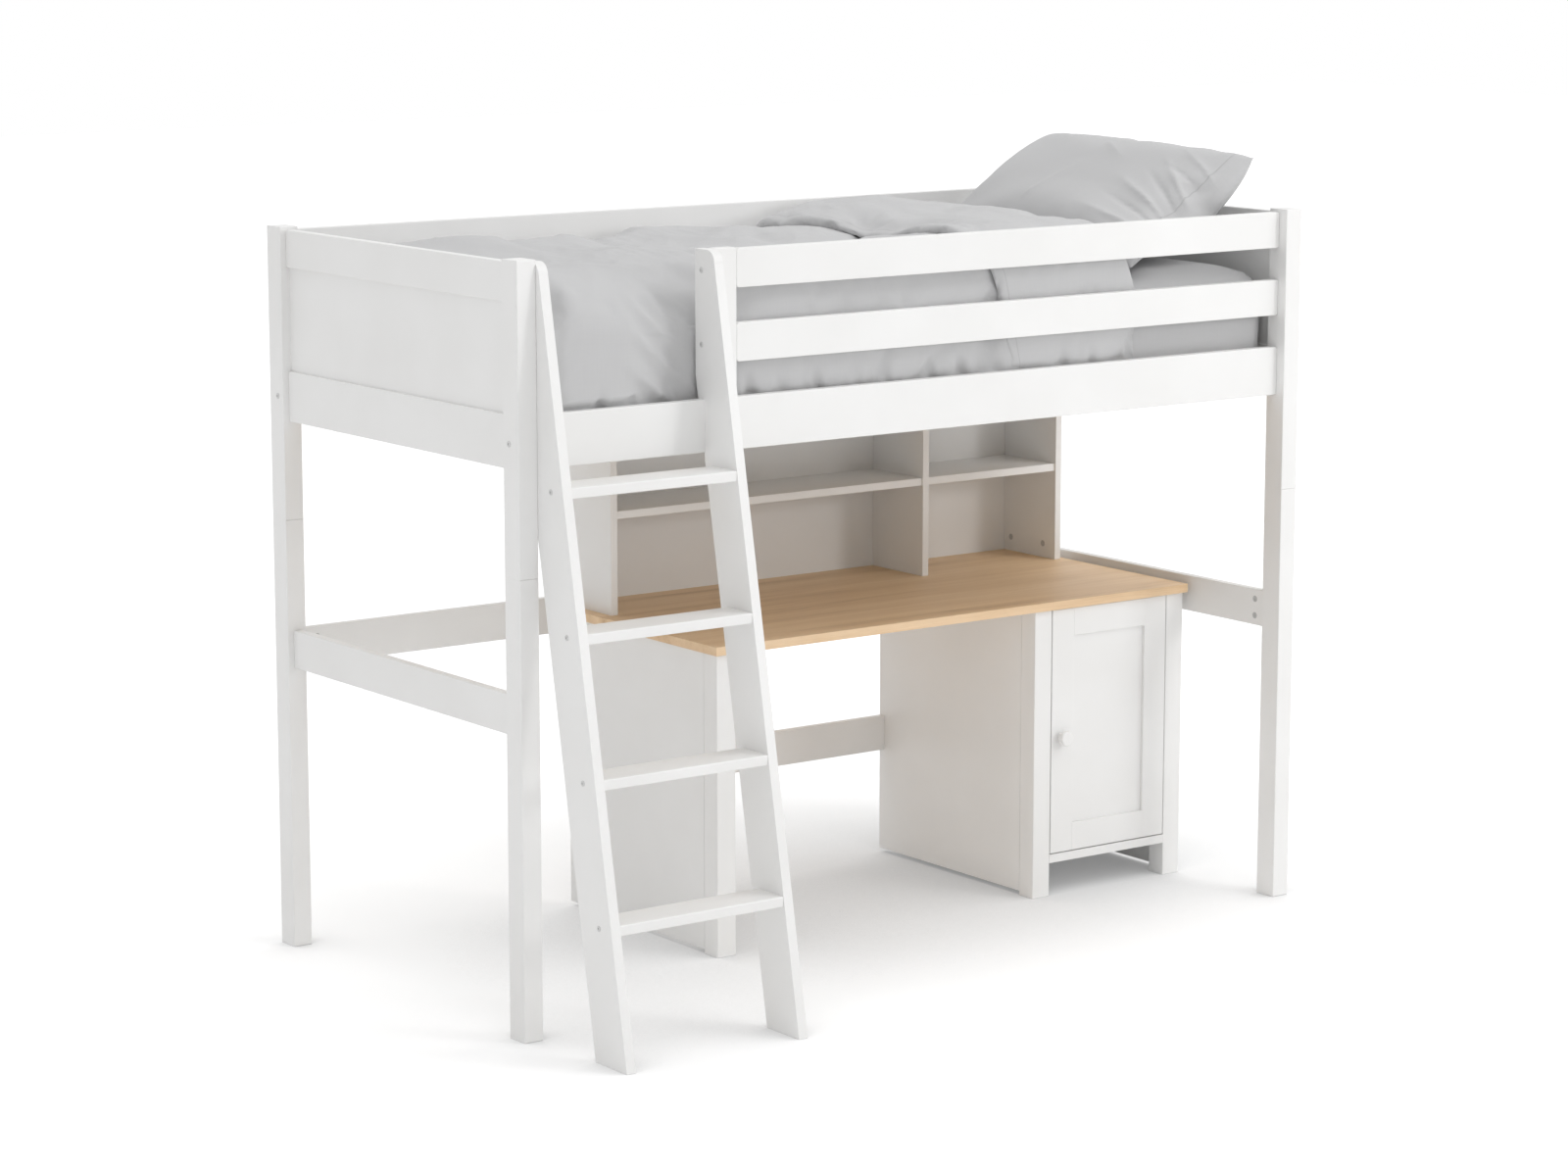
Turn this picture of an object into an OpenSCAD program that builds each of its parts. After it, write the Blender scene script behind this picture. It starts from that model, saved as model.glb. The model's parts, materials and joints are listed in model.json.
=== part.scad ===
// Cabin bed: a raised single bed on four jointed corner posts, with a bolted
// ladder, guard rails, and a free-standing desk below that carries a cupboard
// and a shelf unit.  Millimetres, +X along the bed towards the head, -Y the
// ladder side, +Z up; the origin is on the floor, in the middle of the outline.

/* [Mattress and its room] */
// Length of the mattress
mattress_length = 2000; // [1900:10:2100]
// Width of the mattress
mattress_width = 890; // [790:10:990]
// Thickness of the mattress at its edge
mattress_thick = 190; // [120:5:220]
// Height of the mattress crown above its edge
mattress_crown = 40; // [10:1:45]
// Free length between mattress and foot end
foot_gap = 28; // [3:1:40]
// Free length between mattress and head end
head_gap = 9; // [5:1:40]
// Room for the hanging duvet at the front of the mattress
front_gap = 22; // [20:1:40]
// Room behind the mattress
back_gap = 2; // [1:1:10]

/* [Posts] */
// Post size along the bed
post_w = 45; // [40:1:60]
// Post size across the bed
post_d = 57; // [50:1:80]
// Height of the post tops above the guard rails
post_rise = 7; // [0:1:20]
// Height of the joint between lower leg and upper post
leg_height = 959; // [850:1:1050]
// Diameter of the dowels in the leg joint
leg_dowel_d = 12; // [8:1:16]
// Length of the dowels in the leg joint
leg_dowel_length = 80; // [60:5:120]
// Distance between the two dowels of a leg joint
leg_dowel_pitch = 28; // [20:1:32]

/* [Rails and panels] */
// Thickness of every frame board
board_t = 22; // [18:1:26]
// Distance from the post faces to the long rails
rail_setback = 24; // [4:1:26]
// Distance from the post faces to the end rails
end_setback = 14; // [4:1:18]
// Height of the underside of the side rails
side_rail_z = 1176; // [1150:2:1200]
// Height of a side rail board
side_rail_h = 110; // [100:2:130]
// Height of a guard rail board
guard_rail_h = 81; // [60:1:90]
// Gap between guard rails
guard_gap = 72.5; // [60:0.5:75]
// Width of the guard post beside the ladder
guard_post_w = 59; // [50:1:80]
// Height of the guard post above the guard rails
guard_post_rise = 3; // [0:1:7]
// Thickness of the end panels
end_panel_t = 7; // [5:1:10]
// Depth of the grooves that hold the end panels
groove = 8; // [5:1:12]
// Height of the underside of the lower rails
lower_rail_z = 630; // [500:5:650]
// Height of a lower rail board
lower_rail_h = 84; // [60:2:100]
// Rounding of the rail corners
corner_r = 8; // [3:1:12]
// Rounding of the board and post edges
arris = 2; // [1:0.5:3]

/* [Slats] */
// Number of slats
slat_count = 14; // [12:1:18]
// Width of a slat
slat_w = 70; // [50:1:80]
// Thickness of a slat
slat_t = 18; // [14:1:20]
// Height of a slat bearer
bearer_h = 30; // [20:1:34]
// Depth of a slat bearer
bearer_d = 20; // [16:1:30]
// Height of the bearers above the underside of the side rails
bearer_rise = 14; // [5:1:20]

/* [Ladder] */
// Width between the ladder stiles
ladder_width = 403; // [380:1:450]
// Width of a stile board
stile_board = 110; // [90:1:120]
// Lean of the ladder from upright, in degrees
ladder_lean = 10.6; // [9:0.1:12]
// Distance of the stile tops in front of the posts
stile_stand = 6.5; // [2:0.5:12]
// Distance of the stile tops below the post tops
stile_drop = 5; // [2:1:15]
// Rounding of the stile tops
stile_top_r = 26; // [10:1:40]
// Number of treads
tread_count = 4; // [3:1:4]
// Height of the lowest tread
first_tread = 290; // [250:1:300]
// Rise from tread to tread
tread_rise = 287; // [240:1:290]
// Depth of a tread
tread_depth = 90; // [80:1:96]

/* [Fasteners] */
// Diameter of the bolts through the posts
bolt_d = 8; // [6:0.5:10]
// Diameter of the bolt heads on posts and ladder
bolt_head_d = 13; // [11:0.5:16]
// Height of a bolt head
bolt_head_t = 1.6; // [1:0.1:2.5]
// Diameter of the barrel nuts
nut_d = 14; // [12:0.5:16]
// Distance of the barrel nuts from the rail ends
nut_inset = 40; // [30:1:60]
// Diameter of the ladder bolts
ladder_bolt_d = 6; // [5:0.5:8]
// Diameter of the hidden rail dowels
dowel_d = 10; // [6:0.5:12]
// Length of the hidden rail dowels
dowel_length = 40; // [30:1:44]
// Diameter of the cam locks
cam_d = 15; // [12:0.5:18]
// Depth of a cam lock
cam_depth = 12; // [10:0.5:13]
// Distance of the cam locks from the board ends
cam_inset = 34; // [24:1:44]
// Distance between the two cam locks of a lower rail end
cam_pitch = 39; // [30:1:44]
// Radial clearance of pins, bolts and dowels in their holes
hole_clear = 0.1; // [0.05:0.01:0.2]

/* [Desk] */
// Length of the desk top
desk_length = 1362; // [1300:1:1370]
// Depth of the desk top
desk_depth = 652; // [600:1:660]
// Height of the desk top
desk_height = 698; // [680:1:720]
// Thickness of the desk top
desk_top_t = 20; // [16:1:28]
// Overhang of the desk top at its two ends
end_overhang = 8; // [0:1:20]
// Overhang of the desk top at its front
front_overhang = 10; // [0:1:20]
// Width and depth of the front pillars
pillar = 50; // [40:1:60]
// Thickness of desk, cupboard and shelf unit boards
carcass_t = 18; // [15:1:22]
// Setback of the side panels from the back of the desk top
panel_setback = 56; // [20:1:80]
// Height of the side panels above the floor
panel_raise = 10; // [5:1:20]
// Height of the underside of the desk's back rail
desk_rail_z = 256; // [200:1:320]
// Height of the desk's back rail
desk_rail_h = 84; // [60:1:110]
// Gap between desk top and the lower rail at the head end
desk_end_gap = 16; // [10:1:40]
// Gap between desk top and the lower rail at the back
desk_back_gap = 3; // [2:1:20]

/* [Cupboard] */
// Width of the cupboard over its pillars
cupboard_width = 450; // [400:1:500]
// Height of the underside of the cupboard floor
cupboard_floor_z = 78; // [60:1:120]
// Thickness of the cupboard floor
cupboard_floor_t = 20; // [16:1:24]
// Thickness of the thin back boards
back_t = 4; // [3:0.5:8]
// Gap round the door
door_gap = 2.5; // [2:0.1:4]
// Thickness of the door frame
door_t = 18; // [17:0.5:22]
// Width of the door's stiles and rails
door_frame_w = 65; // [50:1:70]
// Depth of the door's recess in front of its panel
door_recess = 7; // [3:0.5:8]
// Thickness of the door's panel
door_panel_t = 6; // [4:0.5:7]
// Diameter of the knob
knob_d = 36; // [26:1:40]
// Reach of the knob in front of the door
knob_reach = 26; // [18:1:32]
// Height of the knob above the floor
knob_z = 374; // [300:1:450]
// Distance of the knob from the door's free edge
knob_inset = 28; // [24:1:36]
// Diameter of the hinge cups
cup_d = 35; // [26:1:35]
// Depth of the hinge cups
cup_depth = 11; // [9:0.5:12]
// Distance of the hinges from the top and bottom of the door
hinge_inset = 90; // [70:1:120]
// Height of the loose shelf inside the cupboard
inner_shelf_z = 372; // [250:1:450]

/* [Shelf unit] */
// Width of the shelf unit
hutch_width = 1318; // [1200:1:1340]
// Distance of the shelf unit from the right end of the desk top
hutch_inset = 15; // [2:1:40]
// Depth of the shelf unit
hutch_depth = 200; // [160:1:240]
// Room between the shelf unit and the bed
hutch_clear = 38; // [10:1:60]
// Clear width of the wide bay
wide_bay = 873; // [700:1:900]
// Height of the shelves above the desk top
shelf_rise = 218; // [150:1:240]
// Setback of the shelf fronts
shelf_setback = 5; // [0:1:20]

/* [Bedding] */
// Height of the duvet above the mattress
duvet_rise = 78; // [50:1:110]
// Extra height of the turned-back part of the duvet
cuff_rise = 40; // [20:1:60]
// Distance from the head end of the duvet's turned edge
duvet_stop = 408; // [380:1:500]
// Length of the turned-back part
cuff_length = 410; // [300:1:700]
// Width of the pillow
pillow_width = 700; // [600:10:750]
// Length of the pillow up its slope
pillow_length = 435; // [400:5:480]
// Thickness of the pillow
pillow_thick = 190; // [100:5:200]
// Sag of the pillow between its lower and upper edges
pillow_bend = 40; // [0:1:60]
// Slope of the pillow, in degrees
pillow_slope = 33; // [20:1:36]
// Distance of the pillow from the front edge of the mattress
pillow_front = 32; // [20:1:90]

/* [Hidden] */

$fn = 40;
paint = [0.93, 0.93, 0.92];
oak = [0.80, 0.67, 0.49];
pine = [0.86, 0.76, 0.58];
steel = [0.70, 0.70, 0.71];
linen = [0.78, 0.78, 0.79];
cotton = [0.88, 0.88, 0.88];
eps = 0.01;              // overlap of cutting tools past a face
seat = 0.3;              // gap under soft pieces
hole_spare = 1;          // free depth past the end of a dowel or bolt

// ---- frame, worked out from the mattress outwards ----
inner_length = foot_gap + mattress_length + head_gap;
inner_width = front_gap + mattress_width + back_gap;
bed_length = inner_length + 2 * (end_setback + board_t);
bed_width = inner_width + 2 * (rail_setback + board_t);
head_x = bed_length - post_w;                 // inner face of the head posts
back_y = bed_width - post_d;                  // inner face of the back posts
long_rail = bed_length - 2 * post_w;
end_rail = bed_width - 2 * post_d;
rail_mid_y = rail_setback + board_t / 2;      // middle of the front rails
end_mid_x = end_setback + board_t / 2;        // middle of the foot end rails
side_rail_top = side_rail_z + side_rail_h;
mid_guard_z = side_rail_top + guard_gap;
top_guard_z = mid_guard_z + guard_rail_h + guard_gap;
guard_top = top_guard_z + guard_rail_h;
post_height = guard_top + post_rise;
slat_z = side_rail_z + bearer_rise + bearer_h;
mattress_z = slat_z + slat_t;
mattress_top = mattress_z + mattress_thick;
mattress_x = end_setback + board_t + foot_gap;
mattress_y = rail_setback + board_t + front_gap;
crown_z = mattress_top + mattress_crown;
lean_step = tan(ladder_lean);                 // stile run for each mm of height

// ---- ladder ----
stile_run = stile_board / cos(ladder_lean);   // level depth of a stile
stile_left_x = post_w;
stile_right_x = stile_left_x + board_t + ladder_width;
guard_post_x = stile_right_x + board_t;
guard_rail_x = guard_post_x + guard_post_w;
stile_top = post_height - stile_drop;
ladder_reach = stile_stand + stile_top * lean_step;   // feet in front of the posts
tread_bolt_back = 42;                         // bolt line behind a tread's front
ladder_bolt_reach = 30;                       // bolt length past the stile
guard_bolt_z = [mid_guard_z + guard_rail_h / 2, top_guard_z + guard_rail_h / 2];

// ---- desk ----
desk_right = bed_length - end_setback - board_t - desk_end_gap;
desk_x = desk_right - desk_length;
desk_back = bed_width - rail_setback - board_t - desk_back_gap;
desk_y = desk_back - desk_depth;
desk_under = desk_height - desk_top_t;
carcass_x = desk_x + end_overhang;            // left face of the left pillar
carcass_right = desk_right - end_overhang;    // right face of the right pillar
carcass_y = desk_y + front_overhang;          // front faces of the pillars
panel_y = carcass_y + pillar;
panel_back = desk_back - panel_setback;
cupboard_x = carcass_right - cupboard_width;
bay_x = cupboard_x + carcass_t;               // inside of the cupboard
bay_right = carcass_right - carcass_t;
bay_width = bay_right - bay_x;
opening_x = cupboard_x + pillar;              // doorway between the pillars
opening_right = carcass_right - pillar;
cupboard_floor_top = cupboard_floor_z + cupboard_floor_t;
inner_back_y = panel_back - back_t - 4;       // front of the cupboard back

// ---- door ----
door_x = opening_x + door_gap;
door_right = opening_right - door_gap;
door_w = door_right - door_x;
door_z = cupboard_floor_top + door_gap;
door_h = desk_under - door_gap - door_z;
door_groove = 8;
panel_fit = 1;                                // play of a panel in its grooves
hinge_zs = [door_z + hinge_inset, door_z + door_h - hinge_inset];
cup_wall = 1.5;
cup_edge = 6;                                 // wood left beside a hinge cup
cup_x = door_right - cup_edge - cup_d / 2;
arm_h = 12;
plate_h = 44;
plate_d = 26;
plate_t = 3;
arm_gap = 2;                                  // between the door's back and the arms
nose_w = 5;

// ---- shelf unit ----
hutch_right = desk_right - hutch_inset;
hutch_x = hutch_right - hutch_width;
hutch_height = side_rail_z - desk_height - hutch_clear;
hutch_y = desk_back - hutch_depth;
hutch_back_y = desk_back - back_t;
divider_x = hutch_x + carcass_t + wide_bay;
hutch_top_z = desk_height + hutch_height - carcass_t;
narrow_bay = hutch_right - carcass_t - (divider_x + carcass_t);
hutch_cam_ys = [hutch_y + 46, hutch_back_y - 27];

// ---------- shared shapes ----------

// A rectangle with rounded corners
module soft_rect(w, h, r) {
    translate([r, 0]) square([w - 2 * r, h]);
    translate([0, r]) square([w, h - 2 * r]);
    for (x = [r, w - r], y = [r, h - r]) translate([x, y]) circle(r);
}

// A board whose edges are rounded: rx for edges along X, ry along Y, rz along Z
module eased_board(size, rx, ry, rz) {
    intersection() {
        rotate([90, 0, 90]) linear_extrude(size[0]) soft_rect(size[1], size[2], rx);
        translate([0, size[1], 0]) rotate([90, 0, 0])
            linear_extrude(size[1]) soft_rect(size[0], size[2], ry);
        linear_extrude(size[2]) soft_rect(size[0], size[1], rz);
    }
}

// A cylinder along X, Y or Z from its start point
module rod_x(p, d, l) { translate(p) rotate([0, 90, 0]) cylinder(d = d, h = l); }
module rod_y(p, d, l) { translate(p) rotate([-90, 0, 0]) cylinder(d = d, h = l); }
module rod_z(p, d, l) { translate(p) cylinder(d = d, h = l); }

// Everything is drawn from the front left corner of the posts and moved here
module place() {
    translate([-bed_length / 2, (ladder_reach - bed_width) / 2, 0]) children();
}

// Mirrors the foot-end drawing to the head end, and the front to the back
module at_end(ix) {
    if (ix == 0) children();
    else translate([bed_length, 0, 0]) mirror([1, 0, 0]) children();
}
module at_side(iy) {
    if (iy == 0) children();
    else translate([0, bed_width, 0]) mirror([0, 1, 0]) children();
}

// ---------- hidden dowels, drawn with a spare size for their holes ----------

// Dowels that join a lower leg to its post
module leg_dowel_pair(spare_r, spare_l) {
    for (dy = [-1, 1] * leg_dowel_pitch / 2)
        rod_z([post_w / 2, post_d / 2 + dy, leg_height - leg_dowel_length / 2 - spare_l],
            leg_dowel_d + 2 * spare_r, leg_dowel_length + 2 * spare_l);
}

// Dowels between a post and the two rails of its end frame
module end_dowels(spare_r, spare_l) {
    for (zc = [side_rail_z + side_rail_h / 2, top_guard_z + guard_rail_h / 2], dz = [-22, 22])
        rod_y([end_mid_x, post_d - dowel_length / 2 - spare_l, zc + dz],
            dowel_d + 2 * spare_r, dowel_length + 2 * spare_l);
}

// Dowels between an upright face at x and the ends of the two guard rails
module guard_dowels(x, spare_r, spare_l) {
    for (zc = guard_bolt_z, dz = [-20, 20])
        rod_x([x - dowel_length / 2 - spare_l, rail_mid_y, zc + dz],
            dowel_d + 2 * spare_r, dowel_length + 2 * spare_l);
}

// Dowels between the side rail and the guard post that stands on it
module guard_post_dowels(spare_r, spare_l) {
    for (dx = [0.25, 0.75] * guard_post_w)
        rod_z([guard_post_x + dx, rail_mid_y, side_rail_top - dowel_length / 2 - spare_l],
            dowel_d + 2 * spare_r, dowel_length + 2 * spare_l);
}

// ---------- bolts, nuts and cams ----------

// Domed bolt head with a hexagon socket; it sits on x = 0 and points to -X
module bolt_head(d) {
    difference() {
        rotate([0, -90, 0]) union() {
            cylinder(d = d, h = bolt_head_t * 0.6);
            cylinder(d1 = d, d2 = d * 0.8, h = bolt_head_t);
        }
        translate([-bolt_head_t - eps, 0, 0]) rotate([0, 90, 0])
            cylinder(d = d * 0.42, h = bolt_head_t, $fn = 6);
    }
}

side_bolt_z = side_rail_z + side_rail_h / 2;
side_bolt_length = post_w + nut_inset + nut_d / 2 + 4;

// Hole for the bolt through a post into the end of its side rail
module side_bolt_hole() {
    rod_x([-eps, rail_mid_y, side_bolt_z], bolt_d + 2 * hole_clear,
        side_bolt_length + hole_spare);
}

// Bore for the barrel nut in a side rail
module nut_bore(spare) {
    rod_y([post_w + nut_inset, rail_setback + 3 - spare, side_bolt_z],
        nut_d + 2 * spare, board_t - 3 + spare + (spare > 0 ? eps : 0));
}

cam_zs = [for (s = [-1, 1]) lower_rail_z + lower_rail_h / 2 + s * cam_pitch / 2];
cam_bolt_d = 7;
cam_thread_d = 5;
cam_thread = 11;
cam_gap = 0.2;

// Cam bolt along +Y from a joint face at the origin, its thread behind the face
module cam_bolt_y(spare_r, spare_l) {
    rod_y([0, 0, 0], cam_bolt_d + 2 * spare_r, cam_inset - cam_d / 2 - cam_gap + spare_l);
    rod_y([0, -cam_thread - spare_l, 0], cam_thread_d + 2 * spare_r, cam_thread + spare_l + eps);
}

// Cam lock pressed in from the face at x = 0, towards -X, its slot showing
module cam_lock_x() {
    difference() {
        rotate([0, -90, 0]) cylinder(d = cam_d, h = cam_depth);
        for (a = [0, 90]) rotate([a, 0, 0])
            translate([-1, -cam_d * 0.32, -0.9]) cube([2, cam_d * 0.64, 1.8]);
    }
}

// Lower rail joint at the front of the foot end: the bolts, their holes, the cams
module end_cam_bolts(spare_r, spare_l) {
    for (z = cam_zs) translate([end_mid_x, post_d, z]) cam_bolt_y(spare_r, spare_l);
}
module end_cams() {
    for (z = cam_zs) translate([end_setback + board_t, post_d + cam_inset, z]) cam_lock_x();
}
module end_cam_bores() {
    for (z = cam_zs)
        rod_x([end_setback + board_t - cam_depth - hole_clear, post_d + cam_inset, z],
            cam_d + 2 * hole_clear, cam_depth + hole_clear + eps);
}

// Back rail joint at the foot end
module back_cam_bolts(spare_r, spare_l) {
    for (z = cam_zs) translate([post_w, bed_width - rail_mid_y, z])
        rotate([0, 0, -90]) cam_bolt_y(spare_r, spare_l);
}
module back_cams() {
    for (z = cam_zs)
        translate([post_w + cam_inset, bed_width - rail_setback - board_t, z])
            rotate([0, 0, -90]) cam_lock_x();
}
module back_cam_bores() {
    for (z = cam_zs)
        rod_y([post_w + cam_inset, bed_width - rail_setback - board_t - eps, z],
            cam_d + 2 * hole_clear, cam_depth + hole_clear + eps);
}

// ---------- legs and posts, drawn at the front left corner ----------

module leg_body() {
    difference() {
        eased_board([post_w, post_d, leg_height], arris, 0.5, arris);
        leg_dowel_pair(hole_clear, hole_spare);
        end_cam_bolts(hole_clear, hole_spare);
    }
}
module leg(ix, iy) {
    color(paint) place() at_end(ix) difference() {
        at_side(iy) leg_body();
        if (iy == 1) back_cam_bolts(hole_clear, hole_spare);
    }
}
module post(ix, iy) {
    color(paint) place() at_end(ix) at_side(iy) difference() {
        translate([0, 0, leg_height])
            eased_board([post_w, post_d, post_height - leg_height], arris, 0.5, arris);
        leg_dowel_pair(hole_clear, hole_spare);
        end_dowels(hole_clear, hole_spare);
        side_bolt_hole();
        if (ix == 0 && iy == 0) ladder_bolt_holes_left();
        else guard_dowels(post_w, hole_clear, hole_spare);
    }
}
module leg_front_left() { leg(0, 0); }
module leg_front_right() { leg(1, 0); }
module leg_back_left() { leg(0, 1); }
module leg_back_right() { leg(1, 1); }
module post_front_left() { post(0, 0); }
module post_front_right() { post(1, 0); }
module post_back_left() { post(0, 1); }
module post_back_right() { post(1, 1); }
module leg_dowels() {
    color(pine) place() for (ix = [0, 1], iy = [0, 1])
        at_end(ix) at_side(iy) leg_dowel_pair(0, 0);
}

// ---------- end frames, drawn at the foot end ----------

module end_board(z, h) {
    translate([end_setback, post_d, z]) eased_board([board_t, end_rail, h], corner_r, arris, arris);
}
// Holes at both ends of an end rail
module both_sides() { children(); at_side(1) children(); }

panel_slot = end_panel_t + 2 * 0.2;
module panel_slot_box() {
    translate([end_mid_x - panel_slot / 2, post_d - eps, side_rail_top - groove])
        cube([panel_slot, end_rail + 2 * eps, top_guard_z - side_rail_top + 2 * groove]);
}
module end_top_rail(ix) {
    color(paint) place() at_end(ix) difference() {
        end_board(top_guard_z, guard_rail_h);
        panel_slot_box();
        both_sides() end_dowels(hole_clear, hole_spare);
    }
}
module end_bottom_rail(ix) {
    color(paint) place() at_end(ix) difference() {
        end_board(side_rail_z, side_rail_h);
        panel_slot_box();
        both_sides() end_dowels(hole_clear, hole_spare);
    }
}
module end_panel(ix) {
    color(paint) place() at_end(ix)
        translate([end_mid_x - end_panel_t / 2, post_d, side_rail_top - groove + panel_fit])
            cube([end_panel_t, end_rail, top_guard_z - side_rail_top + 2 * (groove - panel_fit)]);
}
module foot_top_rail() { end_top_rail(0); }
module foot_panel() { end_panel(0); }
module foot_bottom_rail() { end_bottom_rail(0); }
module head_top_rail() { end_top_rail(1); }
module head_panel() { end_panel(1); }
module head_bottom_rail() { end_bottom_rail(1); }

// ---------- long rails ----------

module long_board(x, z, l, h) {
    translate([x, rail_setback, z]) eased_board([l, board_t, h], arris, corner_r, arris);
}
module side_rail(iy) {
    color(paint) place() at_side(iy) difference() {
        long_board(post_w, side_rail_z, long_rail, side_rail_h);
        for (ix = [0, 1]) at_end(ix) {
            side_bolt_hole();
            nut_bore(hole_clear);
        }
        if (iy == 0) guard_post_dowels(hole_clear, hole_spare);
    }
}
module front_side_rail() { side_rail(0); }
module back_side_rail() { side_rail(1); }

module guard_rail(z) {
    color(paint) place() difference() {
        long_board(guard_rail_x, z, head_x - guard_rail_x, guard_rail_h);
        guard_dowels(guard_rail_x, hole_clear, hole_spare);
        guard_dowels(head_x, hole_clear, hole_spare);
    }
}
module guard_top_rail() { guard_rail(top_guard_z); }
module guard_mid_rail() { guard_rail(mid_guard_z); }
module guard_post() {
    color(paint) place() difference() {
        translate([guard_post_x, rail_setback, side_rail_top])
            eased_board([guard_post_w, board_t, guard_top + guard_post_rise - side_rail_top],
                arris, corner_r, arris);
        guard_dowels(guard_rail_x, hole_clear, hole_spare);
        guard_post_dowels(hole_clear, hole_spare);
        ladder_bolt_holes_right();
    }
}
module back_guard(z) {
    color(paint) place() at_side(1) difference() {
        long_board(post_w, z, long_rail, guard_rail_h);
        for (ix = [0, 1]) at_end(ix) guard_dowels(post_w, hole_clear, hole_spare);
    }
}
module back_guard_top_rail() { back_guard(top_guard_z); }
module back_guard_mid_rail() { back_guard(mid_guard_z); }

module rail_dowels() {
    color(pine) place() {
        for (ix = [0, 1], iy = [0, 1]) at_end(ix) at_side(iy) end_dowels(0, 0);
        for (ix = [0, 1]) at_end(ix) at_side(1) guard_dowels(post_w, 0, 0);
        guard_dowels(head_x, 0, 0);
        guard_dowels(guard_rail_x, 0, 0);
        guard_post_dowels(0, 0);
    }
}

// ---------- lower rails ----------

module lower_end_rail(ix) {
    color(paint) place() at_end(ix) difference() {
        end_board(lower_rail_z, lower_rail_h);
        both_sides() {
            end_cam_bolts(hole_clear, 0);
            end_cam_bores();
        }
    }
}
module lower_rail_foot() { lower_end_rail(0); }
module lower_rail_head() { lower_end_rail(1); }
module lower_rail_back() {
    color(paint) place() difference() {
        at_side(1) long_board(post_w, lower_rail_z, long_rail, lower_rail_h);
        for (ix = [0, 1]) at_end(ix) {
            back_cam_bolts(hole_clear, 0);
            back_cam_bores();
        }
    }
}

// ---------- slats ----------

module slat_bearers() {
    color(pine) place() for (iy = [0, 1]) at_side(iy)
        translate([post_w, rail_setback + board_t, side_rail_z + bearer_rise])
            cube([long_rail, bearer_d, bearer_h]);
}
slat_play = 2;           // gap between slat ends and side rails
slat_margin = 14;        // first slat from the end frame
slat_pitch = (inner_length - 2 * slat_margin - slat_w) / (slat_count - 1);
module bed_slats() {
    color(pine) place() for (i = [0:slat_count - 1])
        translate([end_setback + board_t + slat_margin + i * slat_pitch,
                rail_setback + board_t + slat_play, slat_z])
            rotate([90, 0, 90]) linear_extrude(slat_w)
                soft_rect(inner_width - 2 * slat_play, slat_t, arris);
}

// ---------- ladder ----------

function stile_front(z) = -ladder_reach + z * lean_step;
function tread_top(i) = first_tread + i * tread_rise;
tread_ys = [for (i = [0:tread_count - 1]) stile_front(tread_top(i))];
tread_zs = [for (i = [0:tread_count - 1]) tread_top(i) - board_t / 2];
notch_low = (rail_setback + ladder_reach - stile_run) / lean_step;
back_high = (post_d + ladder_reach - stile_run) / lean_step;
stile_crown_y = stile_front(stile_top);

// Side view of a stile: level foot, notch round the side rail, rounded top
module stile_outline() {
    difference() {
        polygon([[-ladder_reach, 0], [-ladder_reach + stile_run, 0],
            [rail_setback, notch_low], [rail_setback, side_rail_top],
            [stile_front(side_rail_top) + stile_run, side_rail_top],
            [post_d, back_high], [post_d, stile_top], [stile_crown_y, stile_top]]);
        stile_corner_cut();
    }
}
// Takes the sharp corner off the front of a stile's top, leaving an arc
turn = (90 - ladder_lean) / 2;
corner_back = stile_top_r * tan(turn);
module stile_corner_cut() {
    difference() {
        polygon([[stile_crown_y - 1, stile_top + 1], [stile_crown_y + corner_back, stile_top + 1],
            [stile_crown_y + corner_back, stile_top - stile_top_r],
            [stile_crown_y - corner_back, stile_top - stile_top_r]]);
        translate([stile_crown_y + corner_back, stile_top - stile_top_r]) circle(stile_top_r);
    }
}
module stile_blank(x) {
    translate([x, 0, 0]) rotate([90, 0, 90]) linear_extrude(board_t) stile_outline();
}
module tread_bolt_holes() {
    for (i = [0:tread_count - 1]) {
        p = [0, tread_ys[i] + tread_bolt_back, tread_zs[i]];
        rod_x(p + [stile_left_x - eps, 0, 0], ladder_bolt_d + 2 * hole_clear,
            board_t + ladder_bolt_reach + hole_spare);
        rod_x(p + [stile_right_x - ladder_bolt_reach - hole_spare, 0, 0],
            ladder_bolt_d + 2 * hole_clear, board_t + ladder_bolt_reach + hole_spare + eps);
    }
}
module ladder_bolt_holes_left() {
    for (z = guard_bolt_z)
        rod_x([post_w - ladder_bolt_reach - hole_spare, rail_mid_y, z],
            ladder_bolt_d + 2 * hole_clear, board_t + ladder_bolt_reach + hole_spare + eps);
}
module ladder_bolt_holes_right() {
    for (z = guard_bolt_z)
        rod_x([stile_right_x - eps, rail_mid_y, z], ladder_bolt_d + 2 * hole_clear,
            board_t + ladder_bolt_reach + hole_spare);
}
module ladder_stile_left() {
    color(paint) place() difference() {
        stile_blank(stile_left_x);
        tread_bolt_holes();
        ladder_bolt_holes_left();
    }
}
module ladder_stile_right() {
    color(paint) place() difference() {
        stile_blank(stile_right_x);
        tread_bolt_holes();
        ladder_bolt_holes_right();
    }
}
module ladder_treads() {
    color(paint) place() difference() {
        for (i = [0:tread_count - 1])
            translate([stile_left_x + board_t, tread_ys[i], tread_top(i) - board_t])
                eased_board([ladder_width, tread_depth, board_t], 3, 0.5, 0.5);
        tread_bolt_holes();
    }
}
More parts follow.
